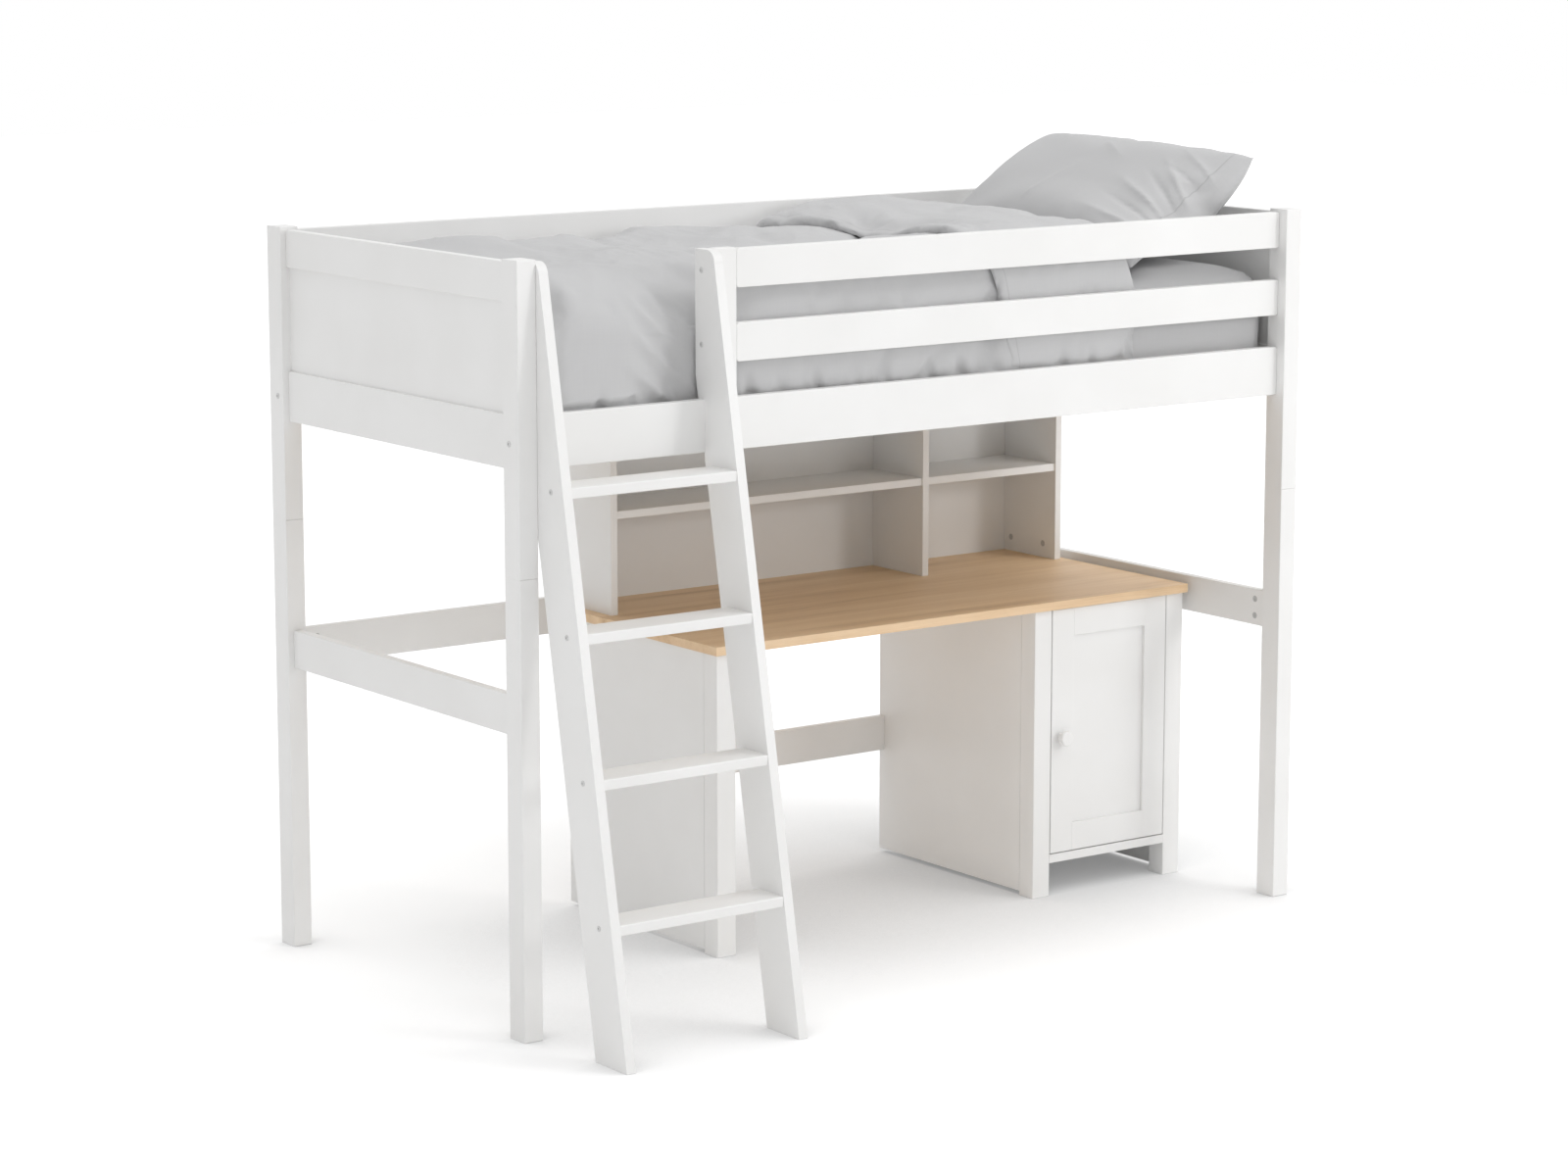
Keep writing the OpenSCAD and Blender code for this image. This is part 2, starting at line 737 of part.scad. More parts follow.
// A ladder bolt from a stile's outer face at x = 0, towards +X
module ladder_bolt() {
    bolt_head(bolt_head_d - 1);
    rod_x([-eps, 0, 0], ladder_bolt_d, board_t + ladder_bolt_reach);
}
module ladder_bolts() {
    color(steel) place() {
        for (i = [0:tread_count - 1]) {
            y = tread_ys[i] + tread_bolt_back;
            translate([stile_left_x, y, tread_zs[i]]) ladder_bolt();
            translate([stile_right_x + board_t, y, tread_zs[i]]) mirror([1, 0, 0]) ladder_bolt();
        }
        for (z = guard_bolt_z) {
            translate([stile_left_x + board_t, rail_mid_y, z]) mirror([1, 0, 0]) ladder_bolt();
            translate([stile_right_x, rail_mid_y, z]) ladder_bolt();
        }
    }
}

// ---------- frame fasteners ----------

module frame_bolts() {
    color(steel) place() for (ix = [0, 1], iy = [0, 1]) at_end(ix) at_side(iy)
        translate([0, rail_mid_y, side_bolt_z]) {
            bolt_head(bolt_head_d);
            rod_x([-eps, 0, 0], bolt_d, side_bolt_length);
        }
}
module barrel_nuts() {
    color(steel) place() for (ix = [0, 1], iy = [0, 1]) at_end(ix) at_side(iy)
        difference() {
            nut_bore(0);
            side_bolt_hole();
        }
}

// Shelf unit joints: cams near the foot of each upright, bolts up from the desk top
hutch_cam_z = desk_height + cam_inset;
hutch_upright_xs = [hutch_x + carcass_t, divider_x + carcass_t, hutch_right - carcass_t];
module hutch_cam(k) {
    translate([hutch_upright_xs[k], 0, hutch_cam_z]) rotate([0, 0, k == 2 ? 180 : 0])
        cam_lock_x();
}
module hutch_cam_bores(k) {
    for (y = hutch_cam_ys)
        rod_x([hutch_upright_xs[k] - (k == 2 ? eps : cam_depth + hole_clear), y, hutch_cam_z],
            cam_d + 2 * hole_clear, cam_depth + hole_clear + eps);
}
module hutch_cam_bolts(k, spare_r, spare_l) {
    middle = hutch_upright_xs[k] + (k == 2 ? 1 : -1) * carcass_t / 2;
    for (y = hutch_cam_ys) translate([middle, y, desk_height])
        rotate([90, 0, 0]) cam_bolt_y(spare_r, spare_l);
}
module cam_locks() {
    color(steel) place() {
        for (ix = [0, 1], iy = [0, 1]) at_end(ix) at_side(iy) end_cams();
        for (ix = [0, 1]) at_end(ix) back_cams();
        for (k = [0:2], y = hutch_cam_ys) translate([0, y, 0]) hutch_cam(k);
    }
}
module cam_bolts() {
    color(steel) place() {
        for (ix = [0, 1], iy = [0, 1]) at_end(ix) at_side(iy) end_cam_bolts(0, 0);
        for (ix = [0, 1]) at_end(ix) back_cam_bolts(0, 0);
        for (k = [0:2]) hutch_cam_bolts(k, 0, 0);
    }
}

// ---------- desk ----------

module desk_top() {
    color(oak) place() difference() {
        translate([desk_x, desk_y, desk_under])
            eased_board([desk_length, desk_depth, desk_top_t], 1, 1, arris);
        for (k = [0:2]) hutch_cam_bolts(k, hole_clear, hole_spare);
    }
}
module upright_panel(x) {
    translate([x, panel_y, panel_raise])
        cube([carcass_t, panel_back - panel_y, desk_under - panel_raise]);
}
module desk_side_panel() { color(paint) place() upright_panel(carcass_x); }
module desk_pillars() {
    color(paint) place() for (x = [carcass_x, cupboard_x, opening_right])
        translate([x, carcass_y, 0])
            eased_board([pillar, pillar, desk_under], 0.5, 0.5, arris);
}
module desk_back_rail() {
    color(paint) place()
        translate([carcass_x + carcass_t, panel_back - carcass_t, desk_rail_z])
            eased_board([cupboard_x - carcass_x - carcass_t, carcass_t, desk_rail_h], 1, 0.5, 0.5);
}

// ---------- cupboard ----------

pin_d = 5;
pin_out = 7;             // a shelf pin stands this far out of the panel
pin_in = 9;
inner_shelf_t = 16;
shelf_play = 1;
module shelf_pin_at(x, dir, spare_r, spare_l) {
    for (y = [panel_y + 45, inner_back_y - 60])
        rod_x([dir > 0 ? x - pin_in - spare_l : x - pin_out, y, inner_shelf_z - pin_d / 2],
            pin_d + 2 * spare_r, pin_in + pin_out + spare_l);
}
module shelf_pins() {
    color(steel) place() {
        shelf_pin_at(bay_x, 1, 0, 0);
        shelf_pin_at(bay_right, -1, 0, 0);
    }
}
module cupboard_left_panel() {
    color(paint) place() difference() {
        upright_panel(cupboard_x);
        shelf_pin_at(bay_x, 1, hole_clear, hole_spare);
    }
}
module cupboard_right_panel() {
    color(paint) place() difference() {
        upright_panel(bay_right);
        shelf_pin_at(bay_right, -1, hole_clear, hole_spare);
    }
}
module cupboard_floor() {
    color(paint) place() translate([0, 0, cupboard_floor_z]) {
        translate([bay_x, panel_y, 0])
            cube([bay_width, inner_back_y - panel_y, cupboard_floor_t]);
        translate([opening_x, carcass_y, 0])
            cube([opening_right - opening_x, pillar + eps, cupboard_floor_t]);
    }
}
module cupboard_back() {
    color(paint) place() translate([bay_x, inner_back_y, cupboard_floor_z])
        cube([bay_width, back_t, desk_under - cupboard_floor_z]);
}
module cupboard_shelf() {
    color(paint) place() translate([bay_x + shelf_play / 2, panel_y + 5, inner_shelf_z])
        eased_board([bay_width - shelf_play, inner_back_y - panel_y - 6, inner_shelf_t],
            0.5, 0.5, 0.5);
}

// ---------- door ----------

module knob_hole(spare) {
    rod_y([door_x + knob_inset, carcass_y - eps, knob_z], 5 + 2 * spare, door_t + 2 * eps);
}
module door_slot() {
    translate([door_x + door_frame_w - door_groove, carcass_y + door_recess - 0.1,
            door_z + door_frame_w - door_groove])
        cube([door_w - 2 * (door_frame_w - door_groove), door_panel_t + 0.2,
            door_h - 2 * (door_frame_w - door_groove)]);
}
module door_stiles() {
    color(paint) place() difference() {
        for (x = [door_x, door_right - door_frame_w]) translate([x, carcass_y, door_z])
            eased_board([door_frame_w, door_t, door_h], 0.5, 0.5, 1);
        door_slot();
        knob_hole(hole_clear);
        for (z = hinge_zs)
            rod_y([cup_x, carcass_y + door_t - cup_depth, z], cup_d + 2 * hole_clear,
                cup_depth + eps);
    }
}
module door_rails() {
    color(paint) place() difference() {
        for (z = [door_z, door_z + door_h - door_frame_w])
            translate([door_x + door_frame_w, carcass_y, z])
                eased_board([door_w - 2 * door_frame_w, door_t, door_frame_w], 1, 0.3, 0.3);
        door_slot();
    }
}
module door_panel() {
    inset = door_frame_w - door_groove + panel_fit;
    color(paint) place() translate([door_x + inset, carcass_y + door_recess, door_z + inset])
        cube([door_w - 2 * inset, door_panel_t, door_h - 2 * inset]);
}
// Turned knob with its screw through the door
module door_knob() {
    r = knob_d / 2;
    neck = 0.42 * r;
    face = knob_reach;
    color(paint) place() translate([door_x + knob_inset, carcass_y, knob_z]) {
        rotate([90, 0, 0]) rotate_extrude() {
            difference() {
                union() {
                    square([neck + 3, 2.5]);
                    square([neck, face * 0.5]);
                    translate([0, face * 0.38]) square([r - 4, face * 0.62]);
                    translate([0, face * 0.38 + 4]) square([r, face * 0.62 - 8]);
                    for (y = [face * 0.38 + 4, face - 4])
                        translate([r - 4, y]) circle(4);
                }
                translate([-r, -1]) square([r, face + 2]);
            }
        }
        rod_y([0, -eps, 0], 5, door_t + 1.5);
        rod_y([0, door_t, 0], 9, 1.5);
    }
}

// Hinge cups sunk in the door's back face
module hinge_cups() {
    color(steel) place() for (z = hinge_zs)
        translate([cup_x, carcass_y + door_t, z]) difference() {
            rotate([90, 0, 0]) union() {
                cylinder(d = cup_d, h = cup_depth - hole_clear);
            }
            rotate([90, 0, 0]) translate([0, 0, -eps])
                cylinder(d = cup_d - 2 * cup_wall, h = cup_depth - cup_wall - hole_clear + eps);
        }
}
// Hinge arms screwed to the pillar; their noses reach down to the floor of the cups
module hinge_arms() {
    back = carcass_y + door_t + arm_gap;
    nose_x = cup_x - 4;
    nose_y = carcass_y + door_t - cup_depth + cup_wall + seat + hole_clear;
    color(steel) place() for (z = hinge_zs) {
        translate([opening_right - plate_t, back + 2, z - plate_h / 2])
            cube([plate_t, plate_d, plate_h]);
        translate([nose_x, back, z - arm_h / 2])
            cube([opening_right - nose_x - 1, nose_w, arm_h]);
        translate([nose_x, nose_y, z - arm_h / 2 + 1])
            cube([nose_w, back - nose_y + eps, arm_h - 2]);
        translate([opening_right - 12, back + 1, z - arm_h / 2])
            cube([10, plate_d - 4, arm_h]);
    }
}

// ---------- shelf unit ----------

module hutch_upright(x) {
    translate([x, hutch_y, desk_height])
        eased_board([carcass_t, hutch_depth - back_t, hutch_top_z - desk_height], 0.5, 0.5, 1);
}
module hutch_sides() {
    color(paint) place() difference() {
        for (x = [hutch_x, hutch_right - carcass_t]) hutch_upright(x);
        for (k = [0, 2]) {
            hutch_cam_bores(k);
            hutch_cam_bolts(k, hole_clear, 0);
        }
    }
}
module hutch_divider() {
    color(paint) place() difference() {
        hutch_upright(divider_x);
        hutch_cam_bores(1);
        hutch_cam_bolts(1, hole_clear, 0);
    }
}
module hutch_top() {
    color(paint) place() translate([hutch_x, hutch_y, hutch_top_z])
        eased_board([hutch_width, hutch_depth - back_t, carcass_t], 1, 0.5, 1);
}
module hutch_back() {
    color(paint) place() translate([hutch_x, hutch_back_y, desk_height])
        cube([hutch_width, back_t, hutch_height]);
}
module hutch_shelves() {
    color(paint) place() for (s = [[hutch_x + carcass_t, wide_bay],
            [divider_x + carcass_t, narrow_bay]])
        translate([s[0], hutch_y + shelf_setback, desk_height + shelf_rise])
            eased_board([s[1], hutch_depth - back_t - shelf_setback, carcass_t], 1, 0.3, 0.3);
}

// ---------- bedding ----------

function wave(t) = sin(t * 180 / PI);
function smooth(t) = let (u = min(1, max(0, t))) u * u * (3 - 2 * u);

// Joins rings of equal length into a closed skin; ends are closed by fans
function ring_faces(rings, count) = [
    for (i = [0:rings - 2], j = [0:count - 1])
        let (a = i * count + j, b = i * count + (j + 1) % count)
        each [[a, a + count, b], [b, a + count, b + count]]];

// --- mattress: level rings from the underside to the crown ---
corner_steps = 5;
mattress_corner = 32;
// Rise of the top from the edge inwards: [distance from the edge, share of the crown]
crown_line = [[8, 0], [18, 0.35], [36, 0.62], [76, 0.82], [160, 0.95],
    [mattress_width / 2 - 20, 1]];
mattress_rings = concat([[18, 0], [5, 7], [0, 28], [-1, mattress_thick / 2],
    [0, mattress_thick - 34], [3, mattress_thick - 12]],
    [for (c = crown_line) [c[0], mattress_thick + c[1] * mattress_crown]]);
// Height of the mattress top at a distance from its nearest edge
function mattress_top_at(inset) = mattress_top + mattress_crown * lookup(inset, crown_line);
function ring_outline(inset, z) =
    let (w = mattress_length / 2 - inset, d = mattress_width / 2 - inset,
        r = min(max(mattress_corner - inset, 12), d - 2))
    [for (q = [0:3], s = [0:corner_steps])
        let (a = 90 * q + 90 * s / corner_steps,
            cx = (q == 0 || q == 3 ? 1 : -1) * (w - r), cy = (q < 2 ? 1 : -1) * (d - r))
        [cx + r * cos(a), cy + r * sin(a), z]];
module mattress() {
    count = 4 * (corner_steps + 1);
    rings = len(mattress_rings);
    skin = [for (m = mattress_rings) each ring_outline(m[0], m[1])];
    last = (rings - 1) * count;
    color(cotton) place()
        translate([mattress_x + mattress_length / 2, mattress_y + mattress_width / 2, mattress_z])
            polyhedron(
                points = concat(skin, [[0, 0, 0], [0, 0, mattress_thick + mattress_crown]]),
                faces = concat(ring_faces(rings, count),
                    [for (j = [0:count - 1]) [j, (j + 1) % count, rings * count]],
                    [for (j = [0:count - 1])
                        [last + (j + 1) % count, last + j, rings * count + 1]]));
}

// --- duvet: an outer and an inner line across the bed, swept along it ---
duvet_under = crown_z + seat;                 // its underside rests on the crown
duvet_x = mattress_x + 12;
duvet_end = end_setback + board_t + inner_length - duvet_stop;
duvet_back_y = mattress_y + mattress_width - 8;
drape_inner = mattress_y - 1.6;
drape_outer = post_d + 1.2;
drape_foot = side_rail_top - 30;
across = 21;                                  // points along each line
hem_x = duvet_end - cuff_length;              // hem of the turned-back part
hem_thick = 22;                               // height of the step at the hem
hem_slip = 14;                                // the hem lies this much further on the side
duvet_stations = let (past = guard_post_x + 5, before = stile_right_x - 12)
    concat([for (d = [0, 12, 36]) duvet_x + d],
        [for (k = [1:5]) duvet_x + 36 + (before - duvet_x - 36) * k / 5],
        [for (k = [0:6]) past + (hem_x - 90 - past) * k / 6],
        [for (d = [-30, -5, 5, 30, 90]) hem_x + d],
        [for (k = [1:3]) hem_x + 90 + (duvet_end - 60 - hem_x - 90) * k / 3],
        [for (d = [30, 10, 0]) duvet_end - d]);
along = len(duvet_stations);

// Height of the duvet's top above its underside
function puff(x, y) =
    let (edge = smooth((x - duvet_x) / 110) * smooth((duvet_end - x + 8) / 60),
        cuff = hem_thick * smooth((x - hem_x) / 10 + 0.5)
            + (cuff_rise - hem_thick) * smooth((x - hem_x) / 160),
        folds = 9 * wave(x / 92 + y / 210) + 6 * wave(y / 74 - x / 160) + 4 * wave(x / 47))
    14 + edge * (duvet_rise - 14 + folds * (0.8 - 0.5 * smooth((x - hem_x) / 60)) + cuff);
// How far the hanging side swells out, between the stiles and along the guard
function swell(x, z) =
    10 * smooth((x - stile_left_x - board_t - 10) / 60) * smooth((stile_right_x - 12 - x) / 60)
    + smooth((x - guard_post_x - 5) / 60) * smooth((duvet_end - x) / 40)
        * (3 + 6 * smooth((x - hem_x - hem_slip - (duvet_under - z) / 3) / 20 + 0.5));
// Outer line: t = 0 at the back, 0.72 at the front edge, 1 at the hanging hem
function outer_point(x, t) =
    t < 0.72
    ? let (u = t / 0.72, y = duvet_back_y + (drape_outer + 26 - duvet_back_y) * u,
        drop = pow(max(0, (u - 0.86) / 0.14), 2) * 34 + pow(max(0, (0.08 - u) / 0.08), 2) * 60)
        [x, y, max(duvet_under + 10, duvet_under + puff(x, y) - drop)]
    : let (u = (t - 0.72) / 0.28,
        top = duvet_under + puff(x, drape_outer + 26) - 34,
        z = top + (drape_foot - top) * u)
        [x, drape_outer + 26 * pow(1 - min(1, u / 0.18), 2)
            - swell(x, z) * wave(u * PI) * (z > side_rail_top + 8 ? 1 : 0), z];
// Inner line: follows the mattress from its back edge over the crown to the hem
under_insets = [8, 18, 36, 76, 160, 250, 350];
under_ys = concat([for (d = under_insets) mattress_y + mattress_width - d],
    [mattress_y + mattress_width / 2],
    [for (k = [6:-1:1]) mattress_y + under_insets[k]], [drape_inner]);
function inner_point(x, j) =
    j < len(under_ys)
    ? let (y = under_ys[j])
        [x, y, mattress_top_at(min(y - mattress_y, mattress_y + mattress_width - y)) + seat]
    : [x, drape_inner, mattress_top + seat
        + (drape_foot - mattress_top) * (j - len(under_ys) + 1) / (across - len(under_ys))];
module duvet() {
    rows = 2 * across;
    skin = [for (x = duvet_stations)
        each concat([for (j = [0:across - 1]) outer_point(x, j / (across - 1))],
            [for (j = [across - 1:-1:0]) inner_point(x, j)])];
    last = (along - 1) * rows;
    caps = [for (j = [0:across - 2])
        let (a = j, b = j + 1, c = rows - 2 - j, d = rows - 1 - j)
        each [[a, b, d], [b, c, d], [last + a, last + d, last + b],
            [last + b, last + d, last + c]]];
    color(linen) place()
        polyhedron(points = skin, faces = concat(ring_faces(along, rows), caps));
}

// --- pillow: a filled case leaning up at the head end, resting on the mattress ---
pillow_cols = 22;
pillow_rows = 16;
pillow_foot_x = duvet_end + 22;
pillow_lift = 13;                             // seam of the pillow's lower edge above the crown
pillow_mid_y = mattress_y + pillow_front + pillow_width / 2;
pillow_corner = 0.05;                         // sides drawn in between the corners
pillow_spread = 8;                            // keeps flat facets above the crown's bends
function pillow_point(i, j, side) =
    let (u = -cos(180 * i / pillow_cols), v = -cos(180 * j / pillow_rows),
        across_bed = u * pillow_width / 2 * (1 - pillow_corner * (1 - v * v)),
        up = (1 + v * (1 - pillow_corner * (1 - u * u))) * pillow_length / 2,
        fill = pow(max(0, 1 - u * u), 0.3) * pow(max(0, 1 - v * v), 0.5),
        bend = pillow_bend * (1 - v * v) * (0.5 - 0.5 * u),
        off = side * pillow_thick * (side > 0 ? 0.6 : 0.4) * fill - bend,
        c = cos(pillow_slope), s = sin(pillow_slope))
    [up * c - off * s, across_bed, up * s + off * c];
module pillow() {
    n = pillow_cols;
    m = pillow_rows;
    base = [pillow_foot_x, pillow_mid_y, crown_z + pillow_lift];
    function rest_on(p) =
        let (x = p[0] + base[0], y = p[1] + base[1],
            inset = min(y - mattress_y, mattress_y + mattress_width - y,
                mattress_x + mattress_length - x))
        [x, y, max(p[2] + base[2], mattress_top_at(inset + pillow_spread) + seat)];
    top = [for (i = [0:n], j = [0:m]) rest_on(pillow_point(i, j, 1))];
    under = [for (i = [0:n], j = [0:m]) rest_on(pillow_point(i, j, -1))];
    // the under side shares the seam points of the top side
    function top_id(i, j) = i * (m + 1) + j;
    function under_id(i, j) = (i == 0 || i == n || j == 0 || j == m) ? top_id(i, j)
        : (n + 1) * (m + 1) + (i - 1) * (m - 1) + (j - 1);
    under_inner = [for (i = [1:n - 1], j = [1:m - 1]) under[top_id(i, j)]];
    // each cell is split towards the nearest corner, so that no facet is folded flat
    function cell(a, b, c, d, main) = main ? [[a, d, c], [a, c, b]] : [[a, d, b], [b, d, c]];
    faces = [for (i = [0:n - 1], j = [0:m - 1])
        let (main = (i < n / 2) == (j < m / 2))
        each concat(
            cell(top_id(i, j), top_id(i, j + 1), top_id(i + 1, j + 1), top_id(i + 1, j), main),
            cell(under_id(i, j), under_id(i + 1, j), under_id(i + 1, j + 1),
                under_id(i, j + 1), main))];
    color(linen) place() polyhedron(points = concat(top, under_inner), faces = faces);
}

leg_front_left();
leg_front_right();
leg_back_left();
leg_back_right();
post_front_left();
post_front_right();
post_back_left();
post_back_right();
leg_dowels();
foot_top_rail();
foot_panel();
foot_bottom_rail();
head_top_rail();
head_panel();
head_bottom_rail();
front_side_rail();
back_side_rail();
guard_top_rail();
guard_mid_rail();
guard_post();
back_guard_top_rail();
back_guard_mid_rail();
lower_rail_foot();
lower_rail_head();
lower_rail_back();
slat_bearers();
bed_slats();
ladder_stile_left();
ladder_stile_right();
ladder_treads();
ladder_bolts();
frame_bolts();
barrel_nuts();
rail_dowels();
cam_locks();
cam_bolts();
mattress();
duvet();
pillow();
desk_top();
desk_side_panel();
desk_pillars();
desk_back_rail();
cupboard_left_panel();
cupboard_right_panel();
cupboard_floor();
cupboard_back();
cupboard_shelf();
shelf_pins();
door_stiles();
door_rails();
door_panel();
door_knob();
hinge_cups();
hinge_arms();
hutch_sides();
hutch_divider();
hutch_top();
hutch_back();
hutch_shelves();
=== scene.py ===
"""Looks of the cabin bed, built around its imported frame.

The frame's boards keep their own solids and get paint, oak, pine and metal finishes.
The bedding is made here as cloth: a mattress in its fitted sheet, a duvet whose head
end is turned back, and a pillow that leans against the head end.  All lengths are
metres and all angles radians, unless a docstring says otherwise.
"""

import json
import logging
import math
from dataclasses import dataclass
from enum import Enum
from typing import NamedTuple

import bpy
import numpy as np
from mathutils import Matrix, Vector

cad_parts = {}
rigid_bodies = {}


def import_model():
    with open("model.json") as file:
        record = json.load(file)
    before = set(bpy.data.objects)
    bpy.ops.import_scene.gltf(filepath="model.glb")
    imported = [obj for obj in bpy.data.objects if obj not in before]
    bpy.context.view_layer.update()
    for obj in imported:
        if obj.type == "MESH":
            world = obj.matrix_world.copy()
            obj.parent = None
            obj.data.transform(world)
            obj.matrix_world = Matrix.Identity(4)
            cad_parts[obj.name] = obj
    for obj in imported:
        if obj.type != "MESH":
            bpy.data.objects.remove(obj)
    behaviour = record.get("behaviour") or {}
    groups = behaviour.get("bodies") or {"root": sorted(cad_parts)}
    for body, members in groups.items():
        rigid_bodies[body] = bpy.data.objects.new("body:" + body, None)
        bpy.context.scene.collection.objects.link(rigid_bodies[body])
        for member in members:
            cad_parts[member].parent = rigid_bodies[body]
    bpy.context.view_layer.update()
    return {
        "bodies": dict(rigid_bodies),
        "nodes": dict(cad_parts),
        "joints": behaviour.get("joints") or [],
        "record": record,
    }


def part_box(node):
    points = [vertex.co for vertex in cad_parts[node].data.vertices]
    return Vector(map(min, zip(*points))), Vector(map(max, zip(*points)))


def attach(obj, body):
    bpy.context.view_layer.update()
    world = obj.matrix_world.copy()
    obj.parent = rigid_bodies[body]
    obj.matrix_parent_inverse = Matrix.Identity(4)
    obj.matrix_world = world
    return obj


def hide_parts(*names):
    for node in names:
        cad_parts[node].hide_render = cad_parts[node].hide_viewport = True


LOG = logging.getLogger("cabin_bed")
SEED = 20


# ---------------------------------------------------------------- shader helpers


class Graph:
    """Adds and links the nodes of one shader tree."""

    def __init__(self, tree: bpy.types.NodeTree) -> None:
        """Keeps the tree that the nodes go into.

        Args:
            tree: a material's tree or a group's tree.
        """
        self.tree = tree

    def add(self, kind: str, /, **values: object) -> bpy.types.Node:
        """Adds a node and sets it up.

        Args:
            kind: the node's type name without its ShaderNode prefix.
            values: an input's name (spaces as _) or a property of the node, with a
                value or an output socket to link from.

        Returns:
            The new node.
        """
        name = kind if kind.startswith("NodeGroup") else "ShaderNode" + kind
        node = self.tree.nodes.new(name)
        for key, value in values.items():
            socket = self._socket(node, key)
            if socket is None:
                setattr(node, key, value)
            elif isinstance(value, bpy.types.NodeSocket):
                self.tree.links.new(value, socket)
            else:
                socket.default_value = value
        return node

    @staticmethod
    def _socket(node: bpy.types.Node, key: str) -> bpy.types.NodeSocket | None:
        """Finds the input that a keyword names; i0 and i1 go by index.

        Args:
            node: the node.
            key: the keyword, as in add.

        Returns:
            The input, or None where the keyword names a property.
        """
        if key[0] == "i" and key[1:].isdigit():
            return node.inputs[int(key[1:])]
        wanted = key.replace("_", " ").lower()
        return next((s for s in node.inputs if s.name.lower() == wanted and s.enabled), None)

    def link(self, value: bpy.types.NodeSocket, node: bpy.types.Node, name: str) -> None:
        """Links a socket to a node's named input."""
        self.tree.links.new(value, node.inputs[name])

    def deliver(self, out: bpy.types.Node, *values: bpy.types.NodeSocket) -> None:
        """Links the values to a group's output node, in order."""
        for socket, value in zip(out.inputs, values):
            self.tree.links.new(value, socket)

    def math(self, operation: str, a: object, b: object = 0.0, c: object = 0.0) -> bpy.types.NodeSocket:
        """Adds a Math node; operands are numbers or sockets, and its result is returned."""
        return self.add("Math", operation=operation, i0=a, i1=b, i2=c).outputs[0]

    def vector(self, operation: str, a: object, b: object = (0.0, 0.0, 0.0)) -> bpy.types.NodeSocket:
        """Adds a Vector Math node and returns its vector."""
        return self.add("VectorMath", operation=operation, i0=a, i1=b).outputs[0]

    def scaled(self, at: object, factor: object) -> bpy.types.NodeSocket:
        """Multiplies a vector by a number."""
        return self.add("VectorMath", operation="SCALE", i0=at, i3=factor).outputs[0]

    def noise(self, at: object, scale: object, detail: float = 2.0,
              rough: float = 0.5) -> bpy.types.NodeSocket:
        """Adds a Noise texture and returns its 0 to 1 value."""
        return self.add("TexNoise", Vector=at, Scale=scale, Detail=detail, Roughness=rough).outputs[0]

    def ramp(self, value: object, stops: list[tuple[float, tuple[float, ...]]]) -> bpy.types.NodeSocket:
        """Adds a Color Ramp.

        Args:
            value: the socket that runs along the ramp.
            stops: position and colour (three numbers) of each stop.

        Returns:
            The ramp's colour.
        """
        node = self.add("ValToRGB", Fac=value)
        ramp = node.color_ramp
        while len(ramp.elements) < len(stops):
            ramp.elements.new(0.5)
        for element, (position, colour) in zip(ramp.elements, stops):
            element.position, element.color = position, (*colour, 1.0)
        return node.outputs[0]

    def mix(self, share: object, a: object, b: object, blend: str = "MIX") -> bpy.types.NodeSocket:
        """Adds a colour Mix node.

        Args:
            share: how much of the second colour shows.
            a: the first colour.
            b: the second colour.
            blend: how they are blended.

        Returns:
            The mixed colour.
        """
        node = self.tree.nodes.new("ShaderNodeMix")
        node.data_type, node.blend_type = "RGBA", blend
        for socket, value in ((node.inputs[0], share), (node.inputs[6], a), (node.inputs[7], b)):
            if isinstance(value, bpy.types.NodeSocket):
                self.tree.links.new(value, socket)
            else:
                socket.default_value = (*value, 1.0) if isinstance(value, tuple) else value
        return node.outputs[2]

    def mix_value(self, share: object, a: object, b: object) -> bpy.types.NodeSocket:
        """Mixes two numbers."""
        return self.math("MULTIPLY_ADD", share, self.math("SUBTRACT", b, a), a)

    def spread(self, value: object, low: float, high: float, start: float = 0.0,
               end: float = 1.0) -> bpy.types.NodeSocket:
        """Maps what lies between start and end onto low to high."""
        return self.add("MapRange", Value=value, From_Min=start, From_Max=end,
                        To_Min=low, To_Max=high).outputs[0]


def group_tree(name: str, inputs: dict[str, tuple[str, object]], outputs: dict[str, str]) -> tuple:
    """Makes an empty shader node group with named sockets.

    Args:
        name: the group's name.
        inputs: socket name to its type name and its default value.
        outputs: socket name to its type name.

    Returns:
        The group's tree, its Graph, the input node and the output node.
    """
    tree = bpy.data.node_groups.new(name, "ShaderNodeTree")
    for label, (kind, value) in inputs.items():
        socket = tree.interface.new_socket(label, in_out="INPUT", socket_type="NodeSocket" + kind)
        if value is not None:
            socket.default_value = value
    for label, kind in outputs.items():
        tree.interface.new_socket(label, in_out="OUTPUT", socket_type="NodeSocket" + kind)
    graph = Graph(tree)
    return tree, graph, tree.nodes.new("NodeGroupInput"), tree.nodes.new("NodeGroupOutput")


